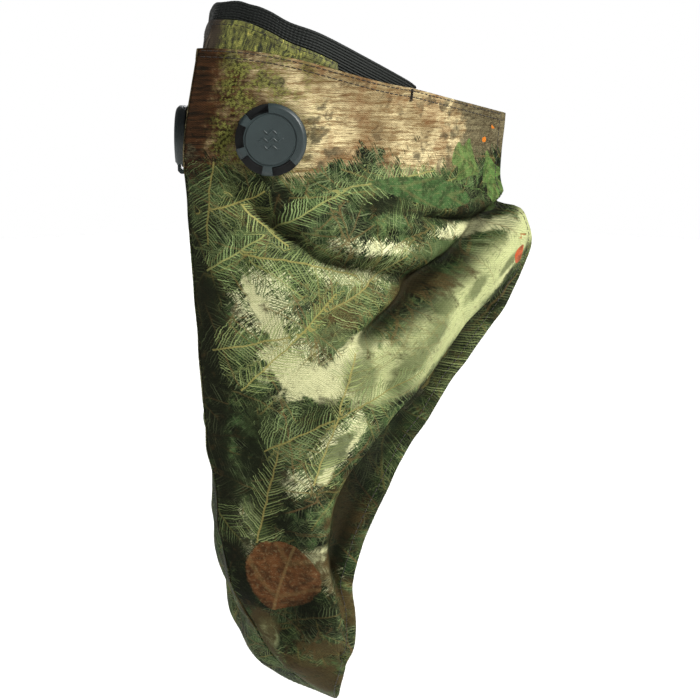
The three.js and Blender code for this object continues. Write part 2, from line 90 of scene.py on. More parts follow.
def smooth(x, low, high):
    t = np.clip((np.asarray(x, float) - low) / (high - low), 0, 1)
    return t * t * (3 - 2 * t)


def path_run(path):
    """Distance from the start to each point of a path."""
    return np.concatenate([[0], np.cumsum(np.linalg.norm(np.diff(path, axis=0), axis=1))])


def through(rows, place):
    """Catmull-Rom through the rows, at places counted in row steps."""
    rows = np.asarray(rows, float)
    last = len(rows) - 1
    place = np.asarray(place, float)
    i = np.clip(np.floor(place).astype(int), 0, last - 1)
    f = (place - i)[..., None]
    ends = np.vstack([2 * rows[0] - rows[1], rows, 2 * rows[-1] - rows[-2]])
    a, b, c, d = ends[i], ends[i + 1], ends[i + 2], ends[i + 3]
    return 0.5 * (2 * b + (c - a) * f + (2 * a - 5 * b + 4 * c - d) * f**2
                  + (3 * b - a - 3 * c + d) * f**3)


def bezier(corners, t):
    a, b, c, d = (corner[:, None] for corner in corners)
    t = t[None, :, None]
    return (1 - t)**3 * a + 3 * t * (1 - t)**2 * b + 3 * t**2 * (1 - t) * c + t**3 * d


def section_lines(levels, steps=120):
    """The cloth's section at each level, as points from the ridge to the rear hem."""
    ridge_y, ridge_z, slope, sx, sy, sz, hx, hy, hz = through(LEVELS, levels).T
    ridge = np.stack([0 * ridge_y, ridge_y, ridge_z], 1)
    side = np.stack([sx, sy, sz], 1)
    hem = np.stack([hx, hy, hz], 1)
    flank_x = FLANK_REACH * sx
    flank = np.stack([flank_x, ridge_y + slope * flank_x, ridge_z], 1)
    before_side = np.stack([sx, sy - SIDE_REACH * (sy - ridge_y), sz + 0.2 * (ridge_z - sz)], 1)
    after_side = side + (hem - side) * HEM_REACH
    after_side[:, 0] = sx
    before_hem = hem + (side - hem) * HEM_REACH
    t = np.linspace(0, 1, steps)
    front = bezier((ridge, flank, before_side, side), t)
    rear = bezier((side, after_side, before_hem, hem), t)
    return np.concatenate([front, rear[:, 1:]], 1)


def off_axis(points):
    """Distance from the valve's axis."""
    offset = points - VALVE_MIDDLE
    return np.linalg.norm(offset - (offset @ VALVE_AXIS)[..., None] * VALVE_AXIS, axis=-1)


def seated(points):
    """Cloth near the valve is pulled onto the valve's plane."""
    height = (points - VALVE_MIDDLE) @ VALVE_AXIS
    hold = 1 - smooth(off_axis(points), SEAT_FLAT, SEAT_FADE)
    return points - (height * hold)[..., None] * VALVE_AXIS


def cloth_base(levels, shares):
    """Points of the smooth cloth by level and by share of each level's length from the ridge.
    Returns points (levels, columns, 3), distances and the whole length of each level."""
    lines = section_lines(levels)
    steps = np.linalg.norm(np.diff(lines, axis=1), axis=2)
    run = np.concatenate([np.zeros((len(lines), 1)), np.cumsum(steps, 1)], 1)
    total = run[:, -1]
    wanted = shares * total[:, None]
    out = np.empty(wanted.shape + (3,))
    for j in range(len(lines)):
        for axis in range(3):
            out[j, :, axis] = np.interp(wanted[j], run[j], lines[j, :, axis])
    return seated(out), wanted, total


def grid_normals(points):
    """Outward normals of a grid whose columns run from the ridge back and rows run down."""
    across = np.gradient(points, axis=1)
    down = np.gradient(points, axis=0)
    return unit(np.cross(down, across))


# ---------- folds ----------
# Each fold is a line on the cloth, by distance from the ridge and height, with its height
# (a valley is negative) and its width on the upper and on the lower side. ends: how much of the
# height is left at the line's first and last point.
FOLDS = [
    dict(line=[(28, -14), (36, -31), (46, -45), (60, -57), (75, -67), (93, -73), (116, -78), (140, -80),
               (160, -76)], height=-8.5, upper=6, lower=7, ends=(0.2, 0.7)),
    dict(line=[(70, -50), (100, -62), (130, -66), (160, -64)], height=3.4, upper=8, lower=6,
         ends=(0, 0)),
    dict(line=[(58, -53), (93, -54), (140, -57), (172, -56)], height=-2.4, upper=2.4, lower=3.4,
         ends=(0, 0)),
    dict(line=[(138, -45), (157, -45), (184, -47), (205, -43), (226, -33)], height=-7.5, upper=2.2,
         lower=4.5, ends=(0, 1)),
    dict(line=[(228, -37), (205, -50), (188, -60), (173, -69), (155, -79), (137, -89), (121, -100),
               (104, -111), (84, -120)], height=-12.5, upper=6.5, lower=5, ends=(0.5, 0.1)),
    dict(line=[(240, -38), (222, -52), (205, -65), (187, -78), (168, -90), (150, -102), (134, -113),
               (118, -125), (100, -134)], height=12, upper=7, lower=20, ends=(0.25, 0)),
    dict(line=[(28, -60), (44, -80), (54, -104), (60, -128)], height=2.2, upper=11, lower=11,
         ends=(0, 0)),
    dict(line=[(150, -104), (118, -128), (92, -150), (70, -182)], height=3.0, upper=14, lower=14,
         ends=(0, 0)),
    dict(line=[(30, -150), (46, -176), (52, -205), (48, -232)], height=2.6, upper=10, lower=13,
         ends=(0, 0)),
    dict(line=[(2, -286), (20, -281), (36, -272), (54, -258), (72, -248)], height=-5.0, upper=6,
         lower=12, ends=(0.5, 0.2)),
    dict(line=[(0, -318), (22, -308), (44, -292), (60, -282)], height=3.0, upper=9, lower=8,
         ends=(0.4, 0.4)),
    dict(line=[(0, 20), (24, 6), (30, -16), (22, -42)], height=-1.0, upper=6, lower=6, ends=(0, 0)),
    dict(line=[(84, 24), (100, 8), (112, -14), (116, -30)], height=-1.3, upper=8, lower=8, ends=(0, 0)),
    dict(line=[(150, 20), (165, -2), (188, -24)], height=1.2, upper=9, lower=9, ends=(0, 0)),
]
# Behind this line the cloth of the drape turns in and lies deeper, towards its rear hem.
TUCK = dict(line=[(238, -62), (222, -78), (200, -93), (176, -107), (158, -123), (141, -140),
                  (120, -155), (102, -170), (82, -187), (68, -205), (60, -221), (56, -240),
                  (58, -262), (50, -300)], depth=13, reach=11)


def polyline(points, per_leg=14):
    place = np.linspace(0, len(points) - 1, (len(points) - 1) * per_leg + 1)
    return through(points, place)


def line_frame(line, spots):
    """Signed distance (positive on the line's upper side), and how far along it, 0 to 1."""
    start, end = line[:-1], line[1:]
    leg = end - start
    size = np.linalg.norm(leg, axis=1)
    run = np.concatenate([[0], np.cumsum(size)])
    best = np.full(spots.shape[:-1], 1e9)
    signed = np.zeros_like(best)
    along = np.zeros_like(best)
    for k in range(len(leg)):
        offset = spots - start[k]
        t = np.clip((offset @ leg[k]) / size[k]**2, 0, 1)
        away = offset - t[..., None] * leg[k]
        distance = np.linalg.norm(away, axis=-1)
        side = np.sign(leg[k, 0] * away[..., 1] - leg[k, 1] * away[..., 0])
        nearer = distance < best
        best = np.where(nearer, distance, best)
        signed = np.where(nearer, distance * side, signed)
        along = np.where(nearer, (run[k] + t * size[k]) / run[-1], along)
    return signed, along


def upward(points):
    """The line in the order that makes its left-hand side the upper one."""
    line = np.array(points, float)
    return line if line[-1, 0] >= line[0, 0] else line[::-1]


def fold_height(fold, spots, shift):
    line = upward(fold["line"]) + np.array(shift)
    forward = fold["line"][-1][0] >= fold["line"][0][0]
    ends = fold["ends"] if forward else fold["ends"][::-1]
    signed, along = line_frame(polyline(line), spots)
    width = np.where(signed > 0, fold["upper"], fold["lower"])
    fade = 0.16
    level = np.ones_like(along)
    level *= ends[0] + (1 - ends[0]) * smooth(along, 0, fade)
    level *= ends[1] + (1 - ends[1]) * smooth(1 - along, 0, fade)
    return fold["height"] * level * np.exp(-(signed / width)**2)


def ripple(distance, height, phase):
    """Gentle unevenness of hanging cloth: a few waves that don't repeat together."""
    waves = ((0.4, 73, 61, 0.3), (0.3, -52, 38, 1.9), (0.22, 190, -27, 4.1), (0.16, 29, 43, 2.2),
             (0.1, -17, 26, 5.0), (0.06, 11, -15, 1.0))
    out = np.zeros_like(distance)
    for size, across, down, start in waves:
        turn = 2 * math.pi * (distance / across + height / down) + start + phase
        out += size * np.sin(turn)
    return out


def fold_field(distance, height, to_hem, to_top, right):
    """How far the cloth stands out from its smooth shape, in mm."""
    spots = np.stack([distance, height], -1)
    shift = (5.0, -4.0) if right else (0.0, 0.0)
    size = 0.85 if right else 1.0
    out = sum(fold_height(fold, spots, shift) for fold in FOLDS)
    tuck_line = upward(TUCK["line"]) + np.array(shift)
    signed, _ = line_frame(polyline(tuck_line), spots)
    below = smooth(-signed, 0, TUCK["reach"]) * smooth(height, -345, -300)
    lip = 1 - 0.95 * np.exp(-(to_hem / 9)**2)
    out = np.where(out > 0, out * smooth(to_hem, -9, 22), out)
    out = out - TUCK["depth"] * below * lip
    out = size * out + ripple(distance, height, 1.3 if right else 0.0)
    # A soft wave in the drape, stronger towards its free end.
    hang = smooth(-height, 120, 300)
    out += 1.8 * hang * np.sin(2 * math.pi * distance / 52 + height / 46 + (0.8 if right else 0))
    calm_top = 0.25 + 0.75 * smooth(to_top, 2, 30)
    ridge_calm = 0.35 + 0.65 * smooth(distance, 0, 16)
    tip_calm = 1 - smooth(-height, 325, 350)
    return out * calm_top * ridge_calm * tip_calm


def seat_calm(points):
    """0 where the valve clamps the cloth, 1 away from it."""
    return smooth(off_axis(points), SEAT_FLAT, SEAT_FADE + 8)


def ridge_wave(height):
    """Small bumps of the front edge, in mm of y."""
    bumps = ((-176, 9, -1.6), (-198, 10, 1.2), (-222, 8, -1.6), (-262, 10, -1.5), (-110, 22, 0.9))
    return sum(size * np.exp(-((height - at) / width)**2) for at, width, size in bumps)


def rear_wave(height):
    """The rear hem stands back where the fold starts, in mm of y."""
    return 5.0 * np.exp(-((height + 42) / 9)**2)


# ---------- the folded cloth as a table that everything sewn to it reads ----------
TABLE_LEVELS = np.linspace(0, len(LEVELS) - 1, 461)
TABLE_SHARES = np.linspace(0, 1, 241)

RIDGE = section_lines(TABLE_LEVELS, 3)[:, 0]
RIDGE_RUN = path_run(RIDGE)


def pattern_height(z):
    """Height on the flat cloth, which is longer than it is high where it leans back."""
    return RIDGE[0, 2] - np.interp(-np.asarray(z, float), -RIDGE[:, 2], RIDGE_RUN)


class Cloth:
    """One side of the mask: the folded mid surface by level and by share of each level's length.
    Both sides are worked out on +X; `sign` puts the right one in its place."""

    def __init__(self, right):
        self.sign = -1.0 if right else 1.0
        base, distance, total = cloth_base(TABLE_LEVELS, TABLE_SHARES)
        normals = grid_normals(base)
        down = np.linalg.norm(np.diff(base, axis=0), axis=2)
        to_top = np.concatenate([np.zeros((1, base.shape[1])), np.cumsum(down, 0)])
        to_hem = total[:, None] - distance
        out = fold_field(distance, base[..., 2], to_hem, to_top, right) * seat_calm(base)
        points = base + normals * out[..., None]
        points[..., 1] += ridge_wave(base[..., 2]) * (1 - smooth(distance, 0, 30))
        points[..., 1] += rear_wave(base[..., 2]) * smooth(to_hem, 34, 0)
        points[..., 0] = np.maximum(points[..., 0], CENTRE_GAP)
        self.points = points
        self.out = out
        self.normals = grid_normals(points)
        self.total = total
        self.to_top = to_top
        self.pattern = pattern_height(base[..., 2])

    def read(self, field, level, share):
        """A field of the table at any level and share, between its corners."""
        j = np.clip(np.asarray(level, float) / TABLE_LEVELS[-1], 0, 1) * (len(TABLE_LEVELS) - 1)
        i = np.clip(share, 0, 1) * (len(TABLE_SHARES) - 1)
        j0 = np.minimum(j.astype(int), len(TABLE_LEVELS) - 2)
        i0 = np.minimum(i.astype(int), len(TABLE_SHARES) - 2)
        f, g = j - j0, i - i0
        if field.ndim == 3:
            f, g = f[..., None], g[..., None]
        upper = field[j0, i0] * (1 - g) + field[j0, i0 + 1] * g
        lower = field[j0 + 1, i0] * (1 - g) + field[j0 + 1, i0 + 1] * g
        return upper * (1 - f) + lower * f

    def whole(self, level):
        return np.interp(level, TABLE_LEVELS, self.total)

    def level_below_top(self, drop, share):
        """The level that lies `drop` mm below the top hem, by column."""
        i = np.round(np.clip(share, 0, 1) * (len(TABLE_SHARES) - 1)).astype(int)
        return np.array([np.interp(d, self.to_top[:, k], TABLE_LEVELS) for d, k in zip(drop, i)])

    def place(self, level, distance, lift=0.0):
        """Points and outward normals at a distance from the ridge, `lift` mm off the mid surface."""
        share = distance / np.maximum(self.whole(level), 1e-6)
        points = self.read(self.points, level, share)
        normals = unit(self.read(self.normals, level, share))
        points = points + normals * np.asarray(lift, float)[..., None]
        flip = np.array([self.sign, 1, 1])
        return points * flip, normals * flip


# ---------- meshes ----------
def new_object(name, points, faces, uvs=None, fields=()):
    """A mesh object from points in mm; uvs are one pair and each field four numbers per point."""
    mesh = bpy.data.meshes.new(name)
    mesh.from_pydata((np.asarray(points, float) * MM).tolist(), [], [list(map(int, f)) for f in faces])
    if uvs is not None:
        layer = mesh.uv_layers.new(name="Pattern")
        corners = np.empty(len(mesh.loops), int)
        mesh.loops.foreach_get("vertex_index", corners)
        layer.data.foreach_set("uv", np.asarray(uvs, np.float32)[corners].ravel())
    for label, values in dict(fields).items():
        attribute = mesh.attributes.new(label, "FLOAT_COLOR", "POINT")
        attribute.data.foreach_set("color", np.asarray(values, np.float32).ravel())
    mesh.polygons.foreach_set("use_smooth", [True] * len(mesh.polygons))
    mesh.update()
    obj = bpy.data.objects.new(name, mesh)
    bpy.context.scene.collection.objects.link(obj)
    return obj


def grid_faces(rows, columns, closed=False):
    """Quads of a grid of corners, row by row; closed joins the last column to the first."""
    faces = []
    wide = columns if closed else columns - 1
    for j in range(rows - 1):
        for i in range(wide):
            k = (i + 1) % columns
            faces.append((j * columns + i, (j + 1) * columns + i, (j + 1) * columns + k, j * columns + k))
    return faces


def holed(faces, radius, inside):
    """The faces outside a round hole, numbered anew, with the corners they use by their old numbers
    and the corners that lie on the hole's rim."""
    kept = [face for face in faces if min(radius[list(face)]) > inside]
    used = sorted({k for face in kept for k in face})
    count = {}
    for face in kept:
        for a, b in zip(face, face[1:] + face[:1]):
            edge = (min(a, b), max(a, b))
            count[edge] = count.get(edge, 0) + 1
    rim = {k for edge, n in count.items() if n == 1 for k in edge if radius[k] < HOLE_R + HOLE_REACH}
    renumber = {k: n for n, k in enumerate(used)}
    return [tuple(renumber[k] for k in face) for face in kept], used, rim


def solid_sheet(name, middle, normals, faces, outer, inner, uvs, rim=0.45, fields=()):
    """A closed sheet: both faces and a rounded rim round every open edge."""
    count = len(middle)
    outer = np.broadcast_to(np.asarray(outer, float), (count,))
    inner = np.broadcast_to(np.asarray(inner, float), (count,))
    front = middle + normals * outer[:, None]
    back = middle - normals * inner[:, None]
    edges = {edge: True for face in faces for edge in zip(face, face[1:] + face[:1])}
    border = [(a, b) for a, b in edges if (b, a) not in edges]
    outward = np.zeros((count, 3))
    for a, b in border:
        away = np.cross(middle[b] - middle[a], normals[a])
        size = np.linalg.norm(away)
        if size > 1e-9:
            outward[a] += away / size
            outward[b] += away / size
    on_rim = sorted({k for edge in border for k in edge})
    outward[on_rim] = unit(outward[on_rim])
    rim_index = {k: 2 * count + n for n, k in enumerate(on_rim)}
    rim_points = (front[on_rim] + back[on_rim]) / 2 + outward[on_rim] * rim
    points = np.concatenate([front, back, rim_points])
    all_uvs = np.concatenate([uvs, uvs, uvs[on_rim]])
    solid = [tuple(face) for face in faces]
    solid += [tuple(count + k for k in reversed(face)) for face in faces]
    for a, b in border:
        solid.append((b, a, rim_index[a], rim_index[b]))
        solid.append((rim_index[b], rim_index[a], count + a, count + b))
    fields = {label: np.concatenate([v, v, v[on_rim]]) for label, v in dict(fields).items()}
    return new_object(name, points, solid, all_uvs, fields)


def tube(path, radius, sides=6):
    """Points and faces of a closed tube along a path of points, with flat ends."""
    path = np.asarray(path, float)
    along = unit(np.gradient(path, axis=0))
    start = np.array([0.0, 0.0, 1.0]) if abs(along[0, 2]) < 0.9 else np.array([1.0, 0.0, 0.0])
    radius = np.broadcast_to(np.asarray(radius, float), (len(path),))
    side = unit(np.cross(along, start))
    other = np.cross(along, side)
    turn = np.linspace(0, 2 * math.pi, sides, endpoint=False)
    ring = side[:, None] * np.cos(turn)[None, :, None] + other[:, None] * np.sin(turn)[None, :, None]
    points = (path[:, None] + ring * radius[:, None, None]).reshape(-1, 3)
    faces = grid_faces(len(path), sides, closed=True)
    last = (len(path) - 1) * sides
    faces.append(tuple(range(sides)))
    faces.append(tuple(last + k for k in reversed(range(sides))))
    return points, faces


def merged(name, parts):
    """One object of many small closed parts, each given as (points, faces)."""
    points = []
    faces = []
    start = 0
    for part_points, part_faces in parts:
        points.append(part_points)
        faces.extend(tuple(start + k for k in face) for face in part_faces)
        start += len(part_points)
    obj = new_object(name, np.concatenate(points), faces)
    outward_faces(obj)
    return obj


def outward_faces(obj):
    mesh = bmesh.new()
    mesh.from_mesh(obj.data)
    bmesh.ops.recalc_face_normals(mesh, faces=mesh.faces)
    mesh.to_mesh(obj.data)
    mesh.free()


# ---------- stitches ----------
STITCH_LENGTH = 2.7
STITCH_GAP = 0.7
THREAD_R = 0.24


def stitch_row(path, normals, length=STITCH_LENGTH, gap=STITCH_GAP, radius=THREAD_R):
    """Lockstitches along a dense path: short threads that dip into the cloth at both ends."""
    run = path_run(path)
    parts = []
    start = gap
    while start + length < run[-1]:
        at = start + length * np.array([0, 0.12, 0.5, 0.88, 1.0])
        lift = np.array([-0.25, 0.10, 0.2, 0.10, -0.25])
        spots = np.stack([np.interp(at, run, path[:, k]) for k in range(3)], 1)
        ups = np.stack([np.interp(at, run, normals[:, k]) for k in range(3)], 1)
        parts.append(tube(spots + ups * lift[:, None], radius))
        start += length + gap
    return parts


# ---------- cloth panels ----------
HEM_STEPS = np.array([0, 0.9, 1.9, 3.0, 4.1, 4.9, 5.5, 6.1, 6.8, 7.8])
HEM_BAND = HEM_STEPS[-1] + 1.6      # the even rows and columns start this far from the hems
TIP_WIDTH = 30.0              # where a side is narrower than this, its hem narrows with it
PANEL_COLUMNS = 112
PANEL_ROWS = 214


def panel_places(cloth):
    """Level and distance of every corner of a panel: rows follow the top hem near it,
    columns follow the rear hem near it."""
    plain = np.linspace(0, 1, PANEL_COLUMNS)
    share_top = np.concatenate([plain, 1 - HEM_STEPS[::-1] / cloth.total[0]])
    share_top[:PANEL_COLUMNS] *= (1 - HEM_BAND / cloth.total[0])
    ridge_run = cloth.to_top[:, 0]
    rows = [cloth.level_below_top(np.full(len(share_top), drop), share_top) for drop in HEM_STEPS]
    start = cloth.level_below_top(np.full(len(share_top), HEM_BAND), share_top)
    first_run = np.interp(start, TABLE_LEVELS, ridge_run)
    for k in range(PANEL_ROWS):
        run = first_run + (ridge_run[-1] - first_run) * (k / (PANEL_ROWS - 1))
        rows.append(np.interp(run, ridge_run, TABLE_LEVELS))
    level = np.array(rows)
    total = cloth.whole(level)
    shrink = np.minimum(1, total / TIP_WIDTH)
    distance = np.empty_like(level)
    distance[:, :PANEL_COLUMNS] = plain[None] * (total - HEM_BAND * shrink)[:, :PANEL_COLUMNS]
    behind = HEM_STEPS[::-1][None] * shrink[:, PANEL_COLUMNS:]
    distance[:, PANEL_COLUMNS:] = total[:, PANEL_COLUMNS:] - behind
    return level, distance


def hem_thickness(to_edge):
    """Half thickness of the cloth by distance from its nearest hemmed edge."""
    folded = 1 - smooth(to_edge, HEM_W - 0.5, HEM_W + 0.5)
    dimple = 0.28 * np.exp(-((to_edge - STITCH_IN) / 0.7)**2)
    return CLOTH / 2 + (HEM_RISE - dimple) * folded


def cloth_panel(name, cloth):
    level, distance = panel_places(cloth)
    rows, columns = level.shape
    total = cloth.whole(level)
    share = distance / np.maximum(total, 1e-6)
    points = cloth.read(cloth.points, level, share).reshape(-1, 3)
    normals = unit(cloth.read(cloth.normals, level, share).reshape(-1, 3))
    to_top = cloth.read(cloth.to_top, level, share).ravel()
    to_hem = (total - distance).ravel()
    half = hem_thickness(np.minimum(to_top, to_hem))
    across = distance.ravel() * cloth.sign
    uvs = np.stack([across, cloth.read(cloth.pattern, level, share).ravel()], 1) / 100
    height = (points - VALVE_MIDDLE) @ VALVE_AXIS
    outward = points - VALVE_MIDDLE - height[:, None] * VALVE_AXIS
    radius = np.where(np.abs(height) < 3, np.linalg.norm(outward, axis=1), FAR_AWAY)
    kept, used, hole_rim = holed(grid_faces(rows, columns), radius, HOLE_R - 0.9)
    for k in hole_rim:
        points[k] += outward[k] * (HOLE_R / radius[k] - 1)
    if cloth.sign < 0:
        kept = [face[::-1] for face in kept]
    flip = np.array([cloth.sign, 1, 1])
    fields = print_fields(uvs[used] * 100, cloth.sign < 0)
    # The fold depth goes to the material, which paints shade into the cloth where the folds sink in.
    fold_shade_depth = cloth.read(cloth.out, level, share).ravel()[used]
    fields["fold_shade_depth"] = np.stack([fold_shade_depth, fold_shade_depth, fold_shade_depth, fold_shade_depth], 1)
    return solid_sheet(name, points[used] * flip, normals[used] * flip, kept, half[used], half[used],
                       uvs[used], fields=fields)


def panel_stitches(name, cloth):
    """Top-stitching: two rows below the top hem, one along the rear hem, on both faces."""
    parts = []
    shares = np.linspace(0.004, 0.996, 700)
    for face in (1, -1):
        for drop in (1.3, 4.7):
            level = cloth.level_below_top(np.full(len(shares), drop), shares)
            distance = shares * cloth.whole(level)
            inside = distance < cloth.whole(level) - 1.5
            half = hem_thickness(np.minimum(drop, cloth.whole(level) - distance))
            path, normals = cloth.place(level, distance, face * half)
            parts += stitch_row(path[inside], normals[inside] * face)
        levels = np.linspace(0.05, 9.9, 1300)
        distance = cloth.whole(levels) - STITCH_IN * np.minimum(1, cloth.whole(levels) / TIP_WIDTH)
        path, normals = cloth.place(levels, distance, face * hem_thickness(np.array(STITCH_IN)))
        parts += stitch_row(path, normals * face)
    return merged(name, parts)


# ---------- nose cover and elastic ----------
# Top edge of the nose cover, left half from the nose back: a point and the direction it falls in.
COVER = [
    (0, -75, 75.5, 0, -0.38, -0.925), (14, -70, 75, 0.03, -0.16, -0.986),
    (26, -62.5, 69.6, 0.03, -0.12, -0.992), (35, -54, 63, 0.03, -0.05, -0.998),
    (46, -39.5, 56.5, -0.07, -0.08, -0.994), (56.8, -11, 43, -0.06, -0.2, -0.978),
    (59.9, 14.6, 33, 0, -0.3, -0.954), (60.3, 22.5, 29.3, 0, -0.3, -0.954),
]
COVER_ON_SHELL = [0, 20, 37, 50, 69, 103, 131, 140]     # where each of them meets the top hem
COVER_HALF = 0.45
COVER_END = 0.62
ELASTIC_WIDTH = 18.8
COVER_FROM = 10.2             # the cover laps this far down over the elastic
ELASTIC_HALF = 0.55
ELASTIC_RISE = 1.4
RIBS = 12
RIB_HEIGHT = 0.3


def both_sides(stations):
    stations = np.array(stations, float)
    other = stations[:0:-1].copy()
    other[:, [0, 3]] *= -1
    return np.concatenate([other, stations])


def cover_frame(place):
    """Top edge point and falling direction, from -1 (right end) over 0 (nose) to 1."""
    values = through(both_sides(COVER), (np.asarray(place) + 1) * (len(COVER) - 1))
    return values[..., :3], unit(values[..., 3:])


def cover_surface(cloth, place, share):
    """The nose cover: from its top edge to a seam line inside the shell, under the top hem."""
    place, share = np.broadcast_arrays(np.asarray(place, float), np.asarray(share, float))
    top, fall = cover_frame(place)
    meets = np.interp(np.abs(place) * (len(COVER) - 1), range(len(COVER)), COVER_ON_SHELL)
    column = meets / cloth.total[0]
    level = np.full(place.shape, 0.13)
    low = cloth.read(cloth.points, level, column)
    out = cloth.read(cloth.normals, level, column)
    low = low - out * (CLOTH / 2 + HEM_RISE + 1.1)
    mirror = (np.sign(place) + (place == 0))[..., None] * np.array([1, 0, 0]) + np.array([0, 1, 1])
    low = low * mirror
    out = out * mirror
    nose = 1 - smooth(meets, 0, 16)
    low[..., 0] *= 1 - nose
    low[..., 1] += 1.0 * nose
    top = top + fall * COVER_FROM
    handle = top * 0.55 + low * 0.45 + out * np.array([1, 1, 0]) * 0.8
    handle[..., 0] = np.where(np.abs(place) < 0.02, 0.0, handle[..., 0])
    t = share[..., None]
    return (1 - t)**2 * top + 2 * t * (1 - t) * handle + t**2 * low


def strip_normals(points):
    return unit(np.cross(np.gradient(points, axis=0), np.gradient(points, axis=1)))


def surface_grid(surface, along, down):
    """Points and outward normals of surface(place, share) on a grid of rows (down) by columns."""
    place, share = np.meshgrid(along, down)
    points = surface(place, share)
    return points, strip_normals(points)


def sheet_from_grid(name, points, normals, outer, inner, uvs, rim=0.4):
    rows, columns = points.shape[:2]
    return solid_sheet(name, points.reshape(-1, 3), normals.reshape(-1, 3), grid_faces(rows, columns),
                       np.broadcast_to(outer, (rows, columns)).ravel(),
                       np.broadcast_to(inner, (rows, columns)).ravel(), uvs.reshape(-1, 2), rim)


def run_along(points, axis):
    steps = np.linalg.norm(np.diff(points, axis=axis), axis=-1)
    start = np.zeros_like(np.take(steps, [0], axis=axis))
    return np.concatenate([start, np.cumsum(steps, axis)], axis)


def strip_uvs(points):
    """Millimetres along and down a strip, over 100, with zero length at its middle."""
    along = run_along(points, 1)
    along = along - along[:, along.shape[1] // 2][:, None]
    return np.stack([along, -run_along(points, 0)], -1) / 100


def nose_cover(cloth):
    along = np.linspace(-COVER_END, COVER_END, 241)
    down = np.linspace(0, 1, 34)
    points, normals = surface_grid(lambda p, q: cover_surface(cloth, p, q), along, down)
    uvs = strip_uvs(points)
    bumps = 0.35 * np.sin(uvs[..., 0] * 21 + 1.1 * np.sin(uvs[..., 1] * 30))
    middle = smooth(down, 0, 0.35) * (1 - smooth(down, 0.7, 1))
    points = points + normals * (bumps * middle[:, None])[..., None]
    drop = run_along(points, 0)
    hem = 0.35 * (1 - smooth(drop, 4.2, 5.2))
    obj = sheet_from_grid("nose_cover_cloth", points, normals, COVER_HALF + hem, COVER_HALF + hem, uvs)
    stitched = points + normals * (COVER_HALF + 0.2)
    row = np.argmin(np.abs(drop[:, 120] - 3.2))
    parts = stitch_row(stitched[row], normals[row])
    return obj, merged("nose_cover_stitches", parts)


def elastic_band():
    along = np.linspace(-1, 1, 521)
    down = np.linspace(-ELASTIC_RISE, ELASTIC_WIDTH - ELASTIC_RISE, 6 * RIBS + 1)
    place, drop = np.meshgrid(along, down)
    top, fall = cover_frame(place)
    points = top + fall * drop[..., None]
    normals = strip_normals(points)
    uvs = strip_uvs(points)
    turn = 2 * math.pi * RIBS * (down + ELASTIC_RISE) / ELASTIC_WIDTH
    gathers = 0.10 * np.sin(uvs[..., 0] * 100 * 2 * math.pi / 2.3)
    # A small dip of the band between the nose and the cheek.
    dip = -0.9 * np.exp(-((np.abs(place) - 0.17) / 0.05)**2)
    lift = COVER_HALF + 0.5 + ELASTIC_HALF
    points = points - normals * (lift + gathers)[..., None]
    points[..., 2] += dip
    ribs = RIB_HEIGHT * (-np.cos(turn))[:, None] * np.ones_like(place)
    obj = sheet_from_grid("elastic_ribs", points, normals, ELASTIC_HALF + ribs, ELASTIC_HALF + ribs,
                          uvs, 0.3)
    parts = []
    for drop_at in (ELASTIC_WIDTH * 0.8, ELASTIC_WIDTH * 0.92):
        row = int(round(drop_at / ELASTIC_WIDTH * (len(down) - 1)))
        keep = np.abs(along) < COVER_END + 0.02
        face = points[row] - normals[row] * (ELASTIC_HALF + 0.12)
        parts += stitch_row(face[keep], -normals[row][keep], 2.0, 0.6, 0.2)
    return obj, merged("elastic_stitches", parts)


def cover_strip(name, cloth, end, low, high, inset, half, columns, rows, crown=0.0):
    """A strip on the inside of the nose cover, between two drops from its top edge."""
    along = np.linspace(-end, end, columns)
    place, share = np.meshgrid(along, np.linspace(0, 1, rows))
    length = np.linalg.norm(cover_surface(cloth, along, 1.0 + 0 * along)
                            - cover_surface(cloth, along, 0 * along), axis=-1)
    shares = (low + (high - low) * share) / length[None]
    surface = cover_surface(cloth, place, shares)
    # Round the nose the strip is set straight back from the fold.
    reach = 0.035
    ahead = cover_surface(cloth, place + reach, shares) - cover_surface(cloth, place - reach, shares)
    below = cover_surface(cloth, place, shares + 0.02) - surface
    normals = unit(np.cross(below, ahead))
    nose = 1 - smooth(np.abs(place), 0, reach)
    points = surface - normals * (inset * (1 + 0.5 * nose))[..., None]
    # With a crown, the strip is thicker in its middle and thins out towards its two long edges.
    edge = np.sin(math.pi * share)**0.5 if crown else np.ones_like(share)
    inner = half + crown * edge
    return sheet_from_grid(name, points, normals, half, inner, strip_uvs(points), 0.3)


# ---------- seam tape and filter ----------
def seam_tape(clothes):
    levels = np.linspace(0.16, 8.4, 300)
    shares = np.linspace(-1, 1, 25)
    rows = []
    ups = []
    for share in shares:
        cloth = clothes[0] if share >= 0 else clothes[1]
        reach = np.full(len(levels), max(abs(share), 0.02) * 7.5)
        spot, normal = cloth.place(levels, reach, -(CLOTH / 2 + 0.75))
        apex = 1 - smooth(abs(share), 0, 0.3)
        spot[:, 0] *= 1 - apex
        spot[:, 1] += 1.1 * apex
        normal = normal * (1 - apex) + np.array([0, -1, 0]) * apex
        rows.append(spot)
        ups.append(normal)
    points = np.stack(rows, 1)
    normals = unit(np.stack(ups, 1))
    uvs = strip_uvs(points)
    bead = 0.18 * np.exp(-((np.abs(shares) - 0.72) / 0.1)**2)
    obj = sheet_from_grid("seam_tape_bias", points, normals, 0.4, 0.4 + bead[None], uvs, 0.3)
    parts = []
    for column in (3, len(shares) - 4):
        path = points[:, column] - normals[:, column] * 0.55
        parts += stitch_row(path, -normals[:, column])
    return obj, merged("seam_tape_stitches", parts)


PAD_HALF = 1.05
PAD_LEVELS = (0.17, 1.96)
PAD_REACH = 66.0


